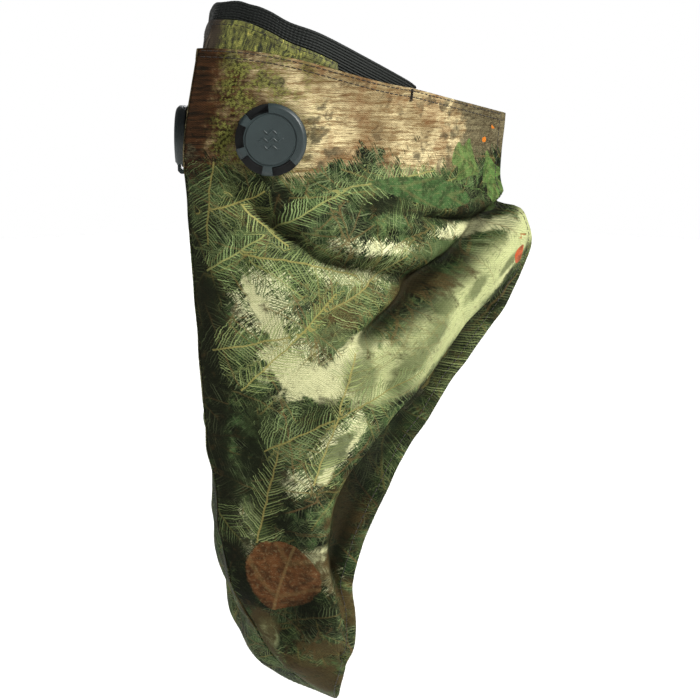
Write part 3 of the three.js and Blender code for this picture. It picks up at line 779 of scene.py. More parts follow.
def filter_pad(clothes):
    """A folded felt pad behind both valves, pressed thin round its edge and at the valve seats."""
    levels = np.linspace(*PAD_LEVELS, 86)
    reaches = np.linspace(-PAD_REACH, PAD_REACH, 161)
    points = np.empty((len(levels), len(reaches), 3))
    normals = np.empty_like(points)
    for i, reach in enumerate(reaches):
        cloth = clothes[0] if reach >= 0 else clothes[1]
        away = np.full(len(levels), abs(reach))
        ridge = 1 - smooth(abs(reach), 2, 16)
        lift = -(CLOTH / 2 + 0.5 + PAD_HALF + 0.8 * smooth(abs(reach), 2, 8))
        spot, normal = cloth.place(levels, away, lift)
        side, _ = cloth.place(levels, np.full(len(levels), 12.0), lift)
        nose = side.copy()
        nose[:, 0] *= abs(reach) / 12.0
        nose[:, 1] -= 7.0 * (1 - min(abs(reach) / 12.0, 1)**1.6)
        blend = 1 - smooth(abs(reach), 7, 14)
        points[:, i] = spot * (1 - blend) + nose * blend
        turned = normal * (1 - ridge) + np.array([0, -1, 0]) * ridge
        normals[:, i] = unit(turned)
    relief = np.ones(points.shape[:2])
    near = np.full(points.shape[:2], FAR_AWAY)
    for sign in (1, -1):
        radius = off_axis(points * np.array([sign, 1, 1]))
        relief = np.minimum(relief, smooth(radius, 19.5, 27))
        near = np.minimum(near, radius)
    points = points - normals * (0.9 * relief)[..., None]
    edge = np.minimum(np.minimum(levels - levels[0], levels[-1] - levels)[:, None] * 34,
                      (PAD_REACH - np.abs(reaches))[None])
    puff = smooth(edge, 1.5, 7) * relief
    quilt = 0.22 * np.sin(reaches * 0.9)[None] * np.sin(levels * 30)[:, None] * puff
    inner = PAD_HALF * (0.45 + 0.55 * smooth(edge, 0, 4)) + 0.7 * puff + quilt
    outer = PAD_HALF * (0.5 + 0.5 * smooth(edge, 0, 4)) * (0.7 + 0.3 * relief)
    flat_points = points.reshape(-1, 3)
    faces, used, rim = holed(grid_faces(*points.shape[:2]), near.ravel(), HOLE_R - 0.6)
    for k in rim:
        sign = 1 if flat_points[k, 0] > 0 else -1
        mirror = np.array([sign, 1, 1])
        spot = flat_points[k] * mirror - VALVE_MIDDLE
        height = spot @ VALVE_AXIS
        spot = spot - height * VALVE_AXIS
        spot *= (HOLE_R + 0.2) / np.linalg.norm(spot)
        flat_points[k] = (VALVE_MIDDLE + spot + height * VALVE_AXIS) * mirror
    uvs = strip_uvs(points).reshape(-1, 2)
    return solid_sheet("filter_pad_felt", flat_points[used], normals.reshape(-1, 3)[used], faces,
                       outer.ravel()[used], inner.ravel()[used], uvs[used], 0.5)


# ---------- wing tabs, bar tacks ----------
TAB_LEVELS = (0.32, 1.83)     # the tabs' upper and lower edge, counted in rows of LEVELS
TAB_SELVEDGE = 2.6            # the hooks start this far from the tape's edge
TACK_Y = 13.5                 # where the bar tack crosses the top hem
TACK_TURNS = 47


def wing_tab(name, cloth, near, far, outside, half):
    """A tab of hook or loop tape along the rear hem, on one face of the cloth."""
    levels = np.linspace(*TAB_LEVELS, 60)
    aways = np.linspace(near, far, 40)
    level, away = np.meshgrid(levels, aways, indexing="ij")
    distance = cloth.whole(level) - away
    face = 1 if outside else -1
    points, normals = cloth.place(level, distance, face * (CLOTH / 2 + 0.3 + half))
    rows = run_along(points, 0)[:, :1]
    edge = np.minimum(np.minimum(away - near, far - away), np.minimum(rows, rows[-1] - rows))
    selvedge = 0.5 + 0.5 * smooth(edge, 1.6, 2.4)
    corner = np.stack([away - near, run_along(points, 0)], -1) / 100
    obj = sheet_from_grid(name, points, normals, half * (selvedge if outside else 1),
                          half * (1 if outside else selvedge), corner, 0.2)
    if cloth.sign < 0:
        outward_faces(obj)
    return obj, points, normals * face, edge


def tab_stitches(name, points, normals, lift):
    rows, columns = points.shape[:2]
    last_row, last_column = rows - 3, columns - 4
    loop = ([(2, c) for c in range(3, last_column)] + [(r, last_column) for r in range(2, last_row)]
            + [(last_row, c) for c in range(last_column, 3, -1)] + [(r, 3) for r in range(last_row, 2, -1)])
    index = tuple(np.array(loop).T)
    path = points[index] + normals[index] * lift
    return merged(name, stitch_row(path, normals[index], 2.2, 0.7, 0.2))


def hooks(name, points, normals, edge, lift, random_numbers):
    """Short bent bristles in rows over the hook tape."""
    parts = []
    rows, columns = points.shape[:2]
    for r in range(3, rows - 3):
        for c in range(3 + r % 2, columns - 3, 2):
            if edge[r, c] < TAB_SELVEDGE:
                continue
            up = normals[r, c]
            along = unit(points[r, c + 1] - points[r, c])
            tilt = random_numbers.uniform(-0.12, 0.12)
            base = points[r, c] + up * lift
            path = [base - up * 0.2, base + up * 0.45 + along * tilt,
                    base + up * 0.62 + along * (tilt + 0.14), base + up * 0.5 + along * (tilt + 0.3)]
            parts.append(tube(path, 0.09, 3))
    return merged(name, parts)


def bar_tack(name, cloth):
    """A dense zigzag of thread across the top hem, with two long core threads under it."""
    level = 0.06
    share = np.linspace(0.5, 1, 400)
    line = cloth.read(cloth.points, np.full(400, level), share)
    distance = float(np.interp(TACK_Y, line[:, 1], share)) * float(cloth.whole(level))
    parts = []
    levels = np.linspace(0.012, 0.235, TACK_TURNS)
    face = CLOTH / 2 + HEM_RISE
    for side in (-0.5, 0.5):
        path, _ = cloth.place(levels, np.full(TACK_TURNS, distance + side), face + 0.15)
        parts.append(tube(path, 0.2))
    zigzag = distance + 0.85 * (-1.0)**np.arange(TACK_TURNS)
    path, _ = cloth.place(levels, zigzag, face + 0.42)
    parts.append(tube(path, 0.19))
    return merged(name, parts)


# ---------- valve ----------
CAP_FACE_R = 18.2
CAP_GROOVE_R = 14.1
CAP_LOW = 2.8
CAP_TOP = 9.2
CAP_PLATE = 1.6
SKIRT_IN_R = 17.5
VENT_IN_R = 14.8
VENT_DEG = 42
VENT_ANGLES = (114, 174, 234, 294, 354)
VENT_LOW = 2.0
BAYONET_ANGLES = (24, 144, 264)
LUG_DEG = 28
BARREL_R = 13.6
BORE_R = 11.8


def lathe(profile, segments=128):
    """Points and faces of a closed solid of revolution about local Z."""
    points = []
    rings = []
    turn = np.linspace(0, 2 * math.pi, segments, endpoint=False)
    for radius, height in profile:
        if radius < 1e-6:
            rings.append([len(points)])
            points.append((0.0, 0.0, height))
        else:
            rings.append(list(range(len(points), len(points) + segments)))
            points.extend(zip(radius * np.cos(turn), radius * np.sin(turn), [height] * segments))
    faces = []
    closed = profile[0][0] > 1e-6 or profile[-1][0] > 1e-6
    pairs = list(zip(rings, rings[1:])) + ([(rings[-1], rings[0])] if closed else [])
    for lower, upper in pairs:
        for k in range(segments):
            n = (k + 1) % segments
            if len(lower) == 1 and len(upper) == 1:
                continue
            if len(lower) == 1:
                faces.append((lower[0], upper[n], upper[k]))
            elif len(upper) == 1:
                faces.append((lower[k], lower[n], upper[0]))
            else:
                faces.append((lower[k], lower[n], upper[n], upper[k]))
    return np.array(points, float), faces


def ring_slice(inner, outer, low, high, angle, width, steps=14):
    turn = np.radians(np.linspace(angle - width / 2, angle + width / 2, steps + 1))
    circle = np.stack([np.cos(turn), np.sin(turn)], 1)
    flat = np.concatenate([circle * outer, circle[::-1] * inner])
    count = len(flat)
    points = np.concatenate([np.c_[flat, np.full(count, low)], np.c_[flat, np.full(count, high)]])
    faces = [tuple(reversed(range(count))), tuple(range(count, 2 * count))]
    faces += [(k, (k + 1) % count, count + (k + 1) % count, count + k) for k in range(count)]
    return points, faces


def box_part(size, middle, turn=0.0):
    x, y, z = (value / 2 for value in size)
    corners = np.array([(a * x, b * y, c * z) for c in (-1, 1) for a, b in
                        ((-1, -1), (1, -1), (1, 1), (-1, 1))])
    spin = np.array([[math.cos(turn), math.sin(turn), 0], [-math.sin(turn), math.cos(turn), 0], [0, 0, 1]])
    faces = [(3, 2, 1, 0), (4, 5, 6, 7), (0, 1, 5, 4), (1, 2, 6, 5), (2, 3, 7, 6), (3, 0, 4, 7)]
    return corners @ spin + np.array(middle), faces


def valve_matrix(side):
    out = Vector((side * VALVE_AXIS[0], VALVE_AXIS[1], 0))
    up = Vector((0, 0, 1))
    across = up.cross(out)
    matrix = Matrix((across, up, out)).transposed().to_4x4()
    matrix.translation = Vector((side * VALVE_MIDDLE[0], VALVE_MIDDLE[1], VALVE_MIDDLE[2])) * MM
    return matrix


def carved(name, body, added=(), cut=(), bevel=0.25):
    """body with other solids joined to it and cut out of it, and its sharp edges rounded."""
    obj = new_object(name, *body)
    outward_faces(obj)
    helpers = []
    for parts, operation in ((added, "UNION"), (cut, "DIFFERENCE")):
        for k, part in enumerate(parts):
            helper = new_object(f"{name}_{operation}_{k}", *part)
            outward_faces(helper)
            modifier = obj.modifiers.new(operation, "BOOLEAN")
            modifier.object = helper
            modifier.operation = operation
            modifier.solver = "EXACT"
            helpers.append(helper)
    if bevel:
        rounding = obj.modifiers.new("rounding", "BEVEL")
        rounding.width = bevel * MM
        rounding.segments = 3
        rounding.limit_method = "ANGLE"
        rounding.angle_limit = math.radians(32)
    bpy.context.view_layer.update()
    mesh = bpy.data.meshes.new_from_object(obj.evaluated_get(bpy.context.evaluated_depsgraph_get()))
    obj.modifiers.clear()
    obj.data = mesh
    for helper in helpers:
        bpy.data.objects.remove(helper)
    tidy = bmesh.new()
    tidy.from_mesh(mesh)
    bmesh.ops.remove_doubles(tidy, verts=tidy.verts, dist=1e-6)
    bmesh.ops.dissolve_degenerate(tidy, edges=tidy.edges, dist=1e-6)
    for face in tidy.faces:
        face.smooth = True
    for edge in tidy.edges:
        edge.smooth = len(edge.link_faces) == 2 and edge.calc_face_angle(3) < math.radians(34)
    tidy.to_mesh(mesh)
    tidy.free()
    return obj


def rounded(profile, corners, radius, steps=4):
    """The profile with the given corners replaced by short arcs."""
    out = []
    for k, point in enumerate(profile):
        if k not in corners:
            out.append(point)
            continue
        here = np.array(point, float)
        before = np.array(profile[k - 1], float) - here
        after = np.array(profile[(k + 1) % len(profile)], float) - here
        reach = min(radius, 0.45 * np.linalg.norm(before), 0.45 * np.linalg.norm(after))
        start = here + unit(before) * reach
        end = here + unit(after) * reach
        for t in np.linspace(0, 1, steps + 1):
            out.append(tuple((1 - t)**2 * start + 2 * t * (1 - t) * here + t**2 * end))
    return out


def wave_mark():
    """A generic raised mark: three short wavy ribs."""
    parts = []
    for height, half in ((4.2, 5.0), (0.0, 7.6), (-4.2, 5.0)):
        x = np.linspace(-half, half, 41)
        swell = np.sin(np.linspace(0, math.pi, 41))**0.4
        wave = height + 0.9 * np.sin(x * 2 * math.pi / 5.2)
        path = np.stack([x, wave, np.full(41, CAP_TOP - 0.15)], 1)
        parts.append(tube(path, 0.15 + 0.4 * swell, 10))
    return parts


def valve_cap_parts():
    under = CAP_TOP - CAP_PLATE
    profile = [
        (0, under), (SKIRT_IN_R - 0.8, under), (SKIRT_IN_R, under - 0.8), (SKIRT_IN_R, CAP_LOW),
        (CAP_R, CAP_LOW), (CAP_R, CAP_TOP - 1.8), (CAP_FACE_R, CAP_TOP - 0.05),
        (CAP_GROOVE_R + 0.55, CAP_TOP), (CAP_GROOVE_R + 0.25, CAP_TOP - 0.5),
        (CAP_GROOVE_R - 0.25, CAP_TOP - 0.5), (CAP_GROOVE_R - 0.55, CAP_TOP), (0, CAP_TOP),
    ]
    body = lathe(rounded(profile, (4, 5, 6), 0.7), 144)
    tabs = [ring_slice(16.2, 17.8, 3.4, 4.4, angle, LUG_DEG) for angle in BAYONET_ANGLES]
    vents = [ring_slice(VENT_IN_R, CAP_R + 2, VENT_LOW, CAP_TOP + 1, angle, VENT_DEG)
             for angle in VENT_ANGLES]
    return body, tabs, vents


def valve_base_parts():
    body = lathe([
        (BORE_R, -6.8), (BARREL_R, -6.8), (BARREL_R, 0.9), (CAP_R - 0.3, 0.9), (CAP_R, 1.2),
        (CAP_R, 2.1), (CAP_R - 0.3, 2.4), (15.9, 2.4), (15.9, 6.2), (15.7, 6.4), (15.1, 6.4), (14.9, 6.2),
        (14.9, 2.4), (BARREL_R, 2.4), (BARREL_R - 0.3, 3.15), (BARREL_R - 0.6, 3.2), (BORE_R, 3.2),
    ], 128)
    spokes = [box_part((2 * BORE_R + 1, 1.6, 1.8), (0, 0, 1.2), math.pi / 4 + k * math.pi / 2)
              for k in (0, 1)]
    post = lathe([(0, 0.3), (3, 0.3), (3, 2.1), (1.3, 2.1), (1.3, 5.7), (2.2, 5.7), (1.6, 6.3),
                  (0, 6.4)], 48)
    lugs = [ring_slice(15.6, 16.9, 4.9, 5.6, angle, LUG_DEG) for angle in BAYONET_ANGLES]
    return body, spokes + [post] + lugs


def flap_part():
    profile = [(1.7, 3.55), (4.0, 3.5), (12.2, 3.5), (13.0, 3.6), (13.0, 3.9), (12.2, 4.05)]
    ridges = (10.8, 10.2, 7.6, 7.0, 4.4, 3.8)
    profile += [(radius, 4.0 + 0.1 * (k % 2)) for k, radius in enumerate(ridges)]
    return lathe(profile + [(1.7, 4.1)], 96)


def valve(side):
    """The pieces of one valve, moved to their place on the given side."""
    word = "left" if side > 0 else "right"
    cap_body, tabs, vents = valve_cap_parts()
    cap = carved(f"{word}_valve_cap_cover", cap_body, tabs, vents, 0.3)
    mark = merged(f"{word}_valve_cap_mark", wave_mark())
    base_body, joined = valve_base_parts()
    base = carved(f"{word}_valve_base_body", base_body, joined, (), 0.18)
    flap = new_object(f"{word}_valve_flap_disc", *flap_part())
    outward_faces(flap)
    gasket = new_object(f"{word}_valve_gasket_ring", *lathe(rounded(
        [(14.2, -4.9), (18.6, -4.9), (18.6, -3.6), (14.2, -3.6)], (0, 1, 2, 3), 0.45), 96))
    outward_faces(gasket)
    notches = [ring_slice(17.6, 20, -8, -4, k * 45, 12, 3) for k in range(8)]
    nut = carved(f"{word}_valve_nut_ring", lathe([(13.9, -6.9), (19, -6.9), (19, -5.2), (13.9, -5.2)], 96),
                 (), notches, 0.25)
    for obj in (cap, mark, base, flap, gasket, nut):
        obj.data.transform(valve_matrix(side))
    return dict(cap=cap, mark=mark, base=base, flap=flap, gasket=gasket, nut=nut)


# ---------- materials ----------
def linear(red, green, blue):
    """A display colour, 0 to 255, as the renderer's linear colour."""
    out = []
    for value in (red, green, blue):
        v = value / 255
        out.append(v / 12.92 if v <= 0.04045 else ((v + 0.055) / 1.055)**2.4)
    return (*out, 1.0)


class Tree:
    """A short way to write a node tree: every method returns an output socket."""

    def __init__(self, tree):
        self.tree = tree

    def node(self, kind, inputs=(), **settings):
        node = self.tree.nodes.new("ShaderNode" + kind)
        for name, value in settings.items():
            setattr(node, name, value)
        for name, value in dict(inputs).items():
            self.put(node.inputs[name], value)
        return node

    def put(self, socket, value):
        if isinstance(value, bpy.types.NodeSocket):
            self.tree.links.new(value, socket)
        else:
            socket.default_value = value

    def math(self, operation, a, b=0.0):
        return self.node("Math", {0: a, 1: b}, operation=operation).outputs[0]

    def add(self, *values):
        total = values[0]
        for value in values[1:]:
            total = self.math("ADD", total, value)
        return total

    def times(self, *values):
        total = values[0]
        for value in values[1:]:
            total = self.math("MULTIPLY", total, value)
        return total

    def less(self, a, b):
        return self.math("SUBTRACT", a, b)

    def step(self, value, low, high, out_low=0.0, out_high=1.0):
        """Smooth step from low to high."""
        return self.node("MapRange", {0: value, 1: low, 2: high, 3: out_low, 4: out_high},
                         interpolation_type="SMOOTHSTEP").outputs[0]

    def mix(self, factor, a, b):
        node = self.node("Mix", data_type="RGBA")
        self.put(node.inputs[0], factor)
        self.put(node.inputs[6], a)
        self.put(node.inputs[7], b)
        return node.outputs[2]

    def blend_values(self, factor, a, b):
        return self.node("Mix", {0: factor, 2: a, 3: b}, data_type="FLOAT").outputs[0]

    def noise(self, vector, scale, detail=2.0, rough=0.5, distortion=0.0, colour=False):
        node = self.node("TexNoise", {"Vector": vector, "Scale": scale, "Detail": detail,
                                      "Roughness": rough, "Distortion": distortion})
        return node.outputs["Color" if colour else "Fac"]

    def voronoi(self, vector, scale):
        return self.node("TexVoronoi", {"Vector": vector, "Scale": scale}).outputs["Distance"]

    def place(self, vector, turn, scale):
        """The vector in a frame that is turned about Z and scaled."""
        return self.node("Mapping", {"Vector": vector, "Rotation": (0, 0, turn), "Scale": scale},
                         vector_type="TEXTURE").outputs[0]

    def split(self, vector):
        return self.node("SeparateXYZ", {0: vector}).outputs

    def join(self, x, y, z=0.0):
        return self.node("CombineXYZ", {0: x, 1: y, 2: z}).outputs[0]

    def vector(self, operation, a, b=(0, 0, 0)):
        return self.node("VectorMath", {0: a, 1: b}, operation=operation).outputs[0]

    def scaled(self, vector, scale):
        return self.node("VectorMath", {0: vector, 3: scale}, operation="SCALE").outputs[0]

    def random(self, value):
        return self.node("TexWhiteNoise", {"W": value}, noise_dimensions="1D").outputs["Value"]


def new_material(name, roughness=0.8, **sockets):
    material = bpy.data.materials.new(name)
    material.use_nodes = True
    shader = material.node_tree.nodes["Principled BSDF"]
    shader.inputs["Roughness"].default_value = roughness
    for socket, value in sockets.items():
        shader.inputs[socket.replace("_", " ")].default_value = value
    return material, Tree(material.node_tree), shader


def dressed(material, t, shader, colour, roughness, strength, distance, height):
    """The material with its colour, roughness and bump put in place."""
    bump = t.node("Bump", {"Strength": strength, "Distance": distance, "Height": height})
    t.put(shader.inputs["Base Color"], colour)
    t.put(shader.inputs["Roughness"], roughness)
    t.put(shader.inputs["Normal"], bump.outputs[0])
    return material


# ---------- the camouflage print, drawn in millimetres on the flat cloth ----------
SPACING = 2.0                 # between the needles of a twig
NEEDLE = 0.34                 # half the width of a needle
NEEDLE_TIP = 0.2


def twig_marks(t, label, width=1.0):
    """Needles and stem of a layer of conifer twigs. The layer's attribute holds the place along and
    across the nearest twig, how far along it that is from 0 to 1, and a number for the twig."""
    spot = t.node("Attribute", attribute_name=label)
    x, y, along = t.split(spot.outputs["Vector"])
    seed = spot.outputs["Alpha"]
    side = t.math("SIGN", y)
    sway = t.less(t.noise(pattern_place(t), 0.09, 2, 0.5), 0.5)
    y = t.add(y, t.times(sway, 3.0))
    away = t.math("ABSOLUTE", y)
    jitter = t.less(t.noise(pattern_place(t), 0.4, 1, 0.5), 0.5)
    slanted = t.less(x, t.add(t.times(away, 0.72), t.times(away, away, 0.016), t.times(sway, away, 0.6),
                              t.times(jitter, away, 0.3)))
    phase = t.add(t.math("DIVIDE", slanted, SPACING), t.times(side, 0.23), t.times(seed, 7.3))
    index = t.math("FLOOR", phase)
    chance = t.random(t.add(index, t.times(side, 91.7), t.times(seed, 57.0)))
    centre = t.add(0.5, t.times(t.less(chance, 0.5), 0.5))
    off = t.times(t.math("ABSOLUTE", t.less(t.less(phase, index), centre)), SPACING)
    reach = t.times(t.add(0.45, t.times(chance, 0.55)), t.step(along, 1.05, 0.4, 0.35, 1.0),
                    t.add(11.0, t.times(seed, 12.0)))
    wide, tip = (t.times(width, size) if isinstance(width, bpy.types.NodeSocket) else width * size
                 for size in (NEEDLE, NEEDLE_TIP))
    thin = t.times(t.step(away, t.times(reach, 0.4), reach, wide, tip),
                   t.add(0.6, t.times(chance, 0.7)))
    needle = t.times(t.less(1.0, t.step(off, t.times(thin, 0.6), t.times(thin, 1.3))),
                     t.math("LESS_THAN", away, reach), t.math("LESS_THAN", along, 1.0),
                     t.math("GREATER_THAN", along, 0.0))
    stem = t.times(t.less(1.0, t.step(away, 0.25, 0.7)), t.math("LESS_THAN", along, 0.97),
                   t.math("GREATER_THAN", along, -0.05))
    return needle, stem, chance


def strands(t, place, turn, long=9.0, wide=0.8, bend=0.5):
    """Noise drawn out into fine strands that lie in one direction."""
    return t.noise(t.place(place, turn=math.radians(turn), scale=(long, wide, 1)), 1.0, 3, 0.6, bend)


# Patches of the print, by field: centre (distance from the ridge and height), half sizes, turn in
# degrees. print_fields packs the first four fields and the last four into one attribute each.
PATCHES = {
    # Cream ground seen between the twigs.
    "cream": [
        ((194, -53), (26, 5.5), 8), ((66, -137), (29, 12), -8), ((92, -122), (20, 9), 30),
        ((36, -93), (5, 16), 28), ((44, -106), (6, 12), 24), ((48, -124), (12, 7), -30),
        ((80, -172), (16, 5), 46), ((56, -240), (10, 5), 20), ((22, -212), (4, 9), 0),
        ((66, -190), (9, 4), 60), ((38, -334), (8, 4), 20), ((214, -62), (20, 6), 40),
        ((204, -82), (12, 3), 40),
    ],
    # Deep shade: mostly dark print, with painted shadow in the crease under the wing and along the tuck
    # behind the rolled fold.
    "dark": [
        ((30, -196), (13, 32), 8), ((8, -110), (11, 76), 0), ((60, -160), (20, 9), 30),
        ((150, -140), (30, 9), 40), ((46, -30), (26, 9), -30), ((7, -200), (8, 70), 0),
        ((210, -96), (26, 10), 34), ((128, -38), (44, 5), -4), ((196, -44), (34, 2.6), 6),
        ((70, -238), (18, 10), 50), ((40, -268), (9, 22), 0), ((26, -313), (16, 5), -16),
        ((48, -280), (18, 8), 40), ((6, -262), (7, 20), 0),
    ],
    # Grey-green patches.
    "grey": [
        ((146, -29), (42, 7), -6), ((22, -206), (12, 30), 4), ((206, -92), (22, 5), 34),
        ((160, -64), (32, 4), 4), ((70, -180), (16, 6), 40), ((30, -168), (10, 16), 10),
    ],
    # Brown litter.
    "tan": [
        ((28, -312), (16, 12), -20), ((16, -328), (20, 10), 0), ((5, -300), (6, 14), 0),
        ((78, -216), (12, 18), -20), ((42, -300), (12, 8), 0), ((68, -276), (7, 18), 0),
        ((140, -86), (30, 7), 14), ((84, -102), (12, 5), -10), ((60, -250), (10, 10), 0),
        ((34, -324), (12, 8), 0), ((8, -286), (8, 14), 0),
    ],
    # Pale cloth of the rolled fold: partly paler cloth, partly a painted highlight where the roll catches
    # the light.
    "pale": [
        ((214, -66), (26, 9), 36), ((190, -82), (28, 12), 38), ((164, -102), (30, 15), 38),
        ((136, -122), (26, 17), 38), ((108, -134), (24, 15), 20), ((232, -52), (9, 12), 0),
        ((10, -292), (6, 10), 0),
    ],
    # Olive blots on the pale cloth.
    "blot": [
        ((78, -111), (10, 7), 10), ((92, -134), (10, 12), -10), ((121, -128), (15, 6), 40),
        ((138, -112), (16, 5), 36), ((114, -141), (9, 6), 20), ((176, -88), (14, 4), 36),
        ((102, -114), (12, 5), 30), ((206, -76), (12, 3), 40), ((150, -98), (9, 4), 30),
    ],
    # Narrow cream gaps behind needles.
    "sliver": [
        ((40, -92), (20, 24), 20), ((108, -61), (34, 5), -4), ((92, -78), (30, 7), -8),
        ((76, -172), (26, 11), 44), ((180, -54), (34, 5), 2), ((14, -222), (7, 22), 0),
        ((54, -120), (24, 10), -8), ((44, -196), (14, 10), 0), ((56, -250), (16, 14), 0),
        ((146, -148), (22, 6), 40),
    ],
    # Soft darkening: painted shade in the fold valleys, in the crease under the wing, behind the rolled fold
    # and along the front edge, and a darker lower part and tip.
    "shade": [
        ((30, -258), (40, 50), 0), ((150, -86), (42, 8), 28), ((4, -110), (11, 110), 0),
        ((152, -152), (70, 14), 40), ((96, -204), (22, 46), -30), ((196, -43), (40, 5), 4),
        ((44, -40), (30, 14), -30), ((26, -180), (16, 40), 8), ((34, -322), (34, 16), 0),
    ],
}
PATCH_TOP = 1.6               # a field's value in the middle of a patch; it falls by 1 per half size
MIRROR_SHIFT = (72, 0)        # the right panel is cut from another part of the print
# Twigs: origin, turn in degrees, length, curve, colour.
YOUNG = (132, 158, 92)
OLIVE = (88, 108, 50)
STRAW = (146, 158, 88)
TWIGS = [
    ((10, -72), 32, 96, -0.0006, YOUNG), ((16, -14), -104, 46, 0.002, OLIVE),
    ((24, -30), -52, 44, 0.003, STRAW), ((6, -40), 8, 40, 0.004, (120, 132, 66)),
    ((34, -176), 22, 108, 0.0004, OLIVE), ((24, -140), 40, 80, 0.0008, (130, 142, 72)),
    ((84, -28), 8, 74, 0.0, (118, 138, 78)), ((30, -64), -8, 70, -0.001, (112, 126, 62)),
    ((20, -232), 70, 60, 0.0, (98, 110, 54)), ((58, -196), 64, 84, 0.0006, (134, 142, 78)),
    ((150, -150), 44, 70, 0.0, (114, 124, 68)), ((10, -118), 8, 60, 0.001, (122, 134, 70)),
    ((76, -96), 24, 60, 0.002, (120, 130, 72)),
]
# Leaves: origin, turn in degrees, length, width over length, lobes, depth of the lobes, colour.
LEAVES = [
    ((104, -24), -8, 84, 0.11, 1, 0.05, (62, 92, 50)), ((197, -20), 152, 29, 0.5, 2, 0.42, (92, 118, 62)),
    ((204, -6), -72, 38, 0.34, 3, 0.5, (88, 118, 60)),
    ((221, -64), -108, 12, 0.6, 1, 0.05, (190, 78, 42)), ((18, -277), 62, 52, 0.46, 1, 0.05, (98, 62, 35)),
]
BERRIES = (((207, 8), 1.7), ((201, 0), 1.9))


def scattered_twigs(count, seed, dark, light, length):
    """Twigs at random over the whole cloth."""
    draw = random.Random(seed)
    out = []
    for _ in range(count):
        share = draw.random()
        tint = tuple(a + (b - a) * share for a, b in zip(dark, light))
        out.append(((draw.uniform(-10, 236), draw.uniform(-372, -4)), draw.uniform(-180, 180),
                    length * draw.uniform(0.6, 1.4), draw.uniform(-0.007, 0.007), tint))
    return out


def flat(distance, height):
    return np.array((distance, float(pattern_height(height))))


def turned(spots, origin, degrees):
    offset = spots - flat(*origin)
    c, s = math.cos(math.radians(degrees)), math.sin(math.radians(degrees))
    return offset[:, 0] * c + offset[:, 1] * s, offset[:, 1] * c - offset[:, 0] * s


def twig_fields(spots, twigs, seed):
    draw = random.Random(seed)
    best = np.full(len(spots), 1.35)
    place = np.tile([0.0, 500.0, 2.0, 0.0], (len(spots), 1))
    tints = np.zeros((len(spots), 4))
    for origin, turn, length, curve, tint in twigs:
        number = draw.random()
        x, y = turned(spots, origin, turn)
        y = y - curve * x * x
        score = np.abs(y) / (12 + 12 * number) + 0.4 * np.abs(x / length - 0.5)
        nearer = (score < best) & (x > -3) & (x < length * 1.03)
        best = np.where(nearer, score, best)
        place[nearer] = np.stack([x, y, x / length, np.full_like(x, number)], 1)[nearer]
        tints[nearer] = linear(*tint)
    return place, tints


def print_fields(spots, mirrored):
    """Everything of the print that has a place of its own, for each point of the flat cloth."""
    if mirrored:
        spots = spots * (-1, 1) + MIRROR_SHIFT
    patches = np.zeros((len(spots), len(PATCHES)))
    for k, field in enumerate(PATCHES.values()):
        for centre, size, turn in field:
            x, y = turned(spots, centre, turn)
            patches[:, k] = np.maximum(patches[:, k], PATCH_TOP - np.hypot(x / size[0], y / size[1]))
    fields = {"patches": patches[:, :4], "tones": patches[:, 4:]}
    far = scattered_twigs(240, 11, (14, 22, 9), (84, 102, 44), 46)
    middle = scattered_twigs(170, 12, (18, 28, 12), (98, 122, 58), 50)
    for label, twigs, seed in (("far", far, 1), ("middle", middle, 2), ("near", TWIGS, 3)):
        fields[label], fields[label + "_tint"] = twig_fields(spots, twigs, seed)
    leaf = np.tile([0.0, 9.0, 1.0, 0.0], (len(spots), 1))
    tints = np.zeros((len(spots), 4))
    best = np.full(len(spots), 2.2)
    for origin, turn, length, wide, lobes, depth, tint in LEAVES:
        x, y = turned(spots, origin, turn)
        y = np.abs(y)
        away = np.hypot(2 * x / length - 1, 2 * y / (wide * length))
        nearer = away < best
        best = np.where(nearer, away, best)
        values = np.stack([x / length, y / length * 0.42 / wide, np.full_like(x, lobes),
                           np.full_like(x, depth)], 1)
        leaf[nearer] = values[nearer]
        tints[nearer] = linear(*tint)
    for centre, size in BERRIES:
        x, y = turned(spots, centre, 0)
        tints[:, 3] = np.maximum(tints[:, 3] * (tints[:, 3] < 1), 1.5 - np.hypot(x, y) / size)
    fields["leaf"] = leaf
    fields["leaf_tint"] = tints
    return fields


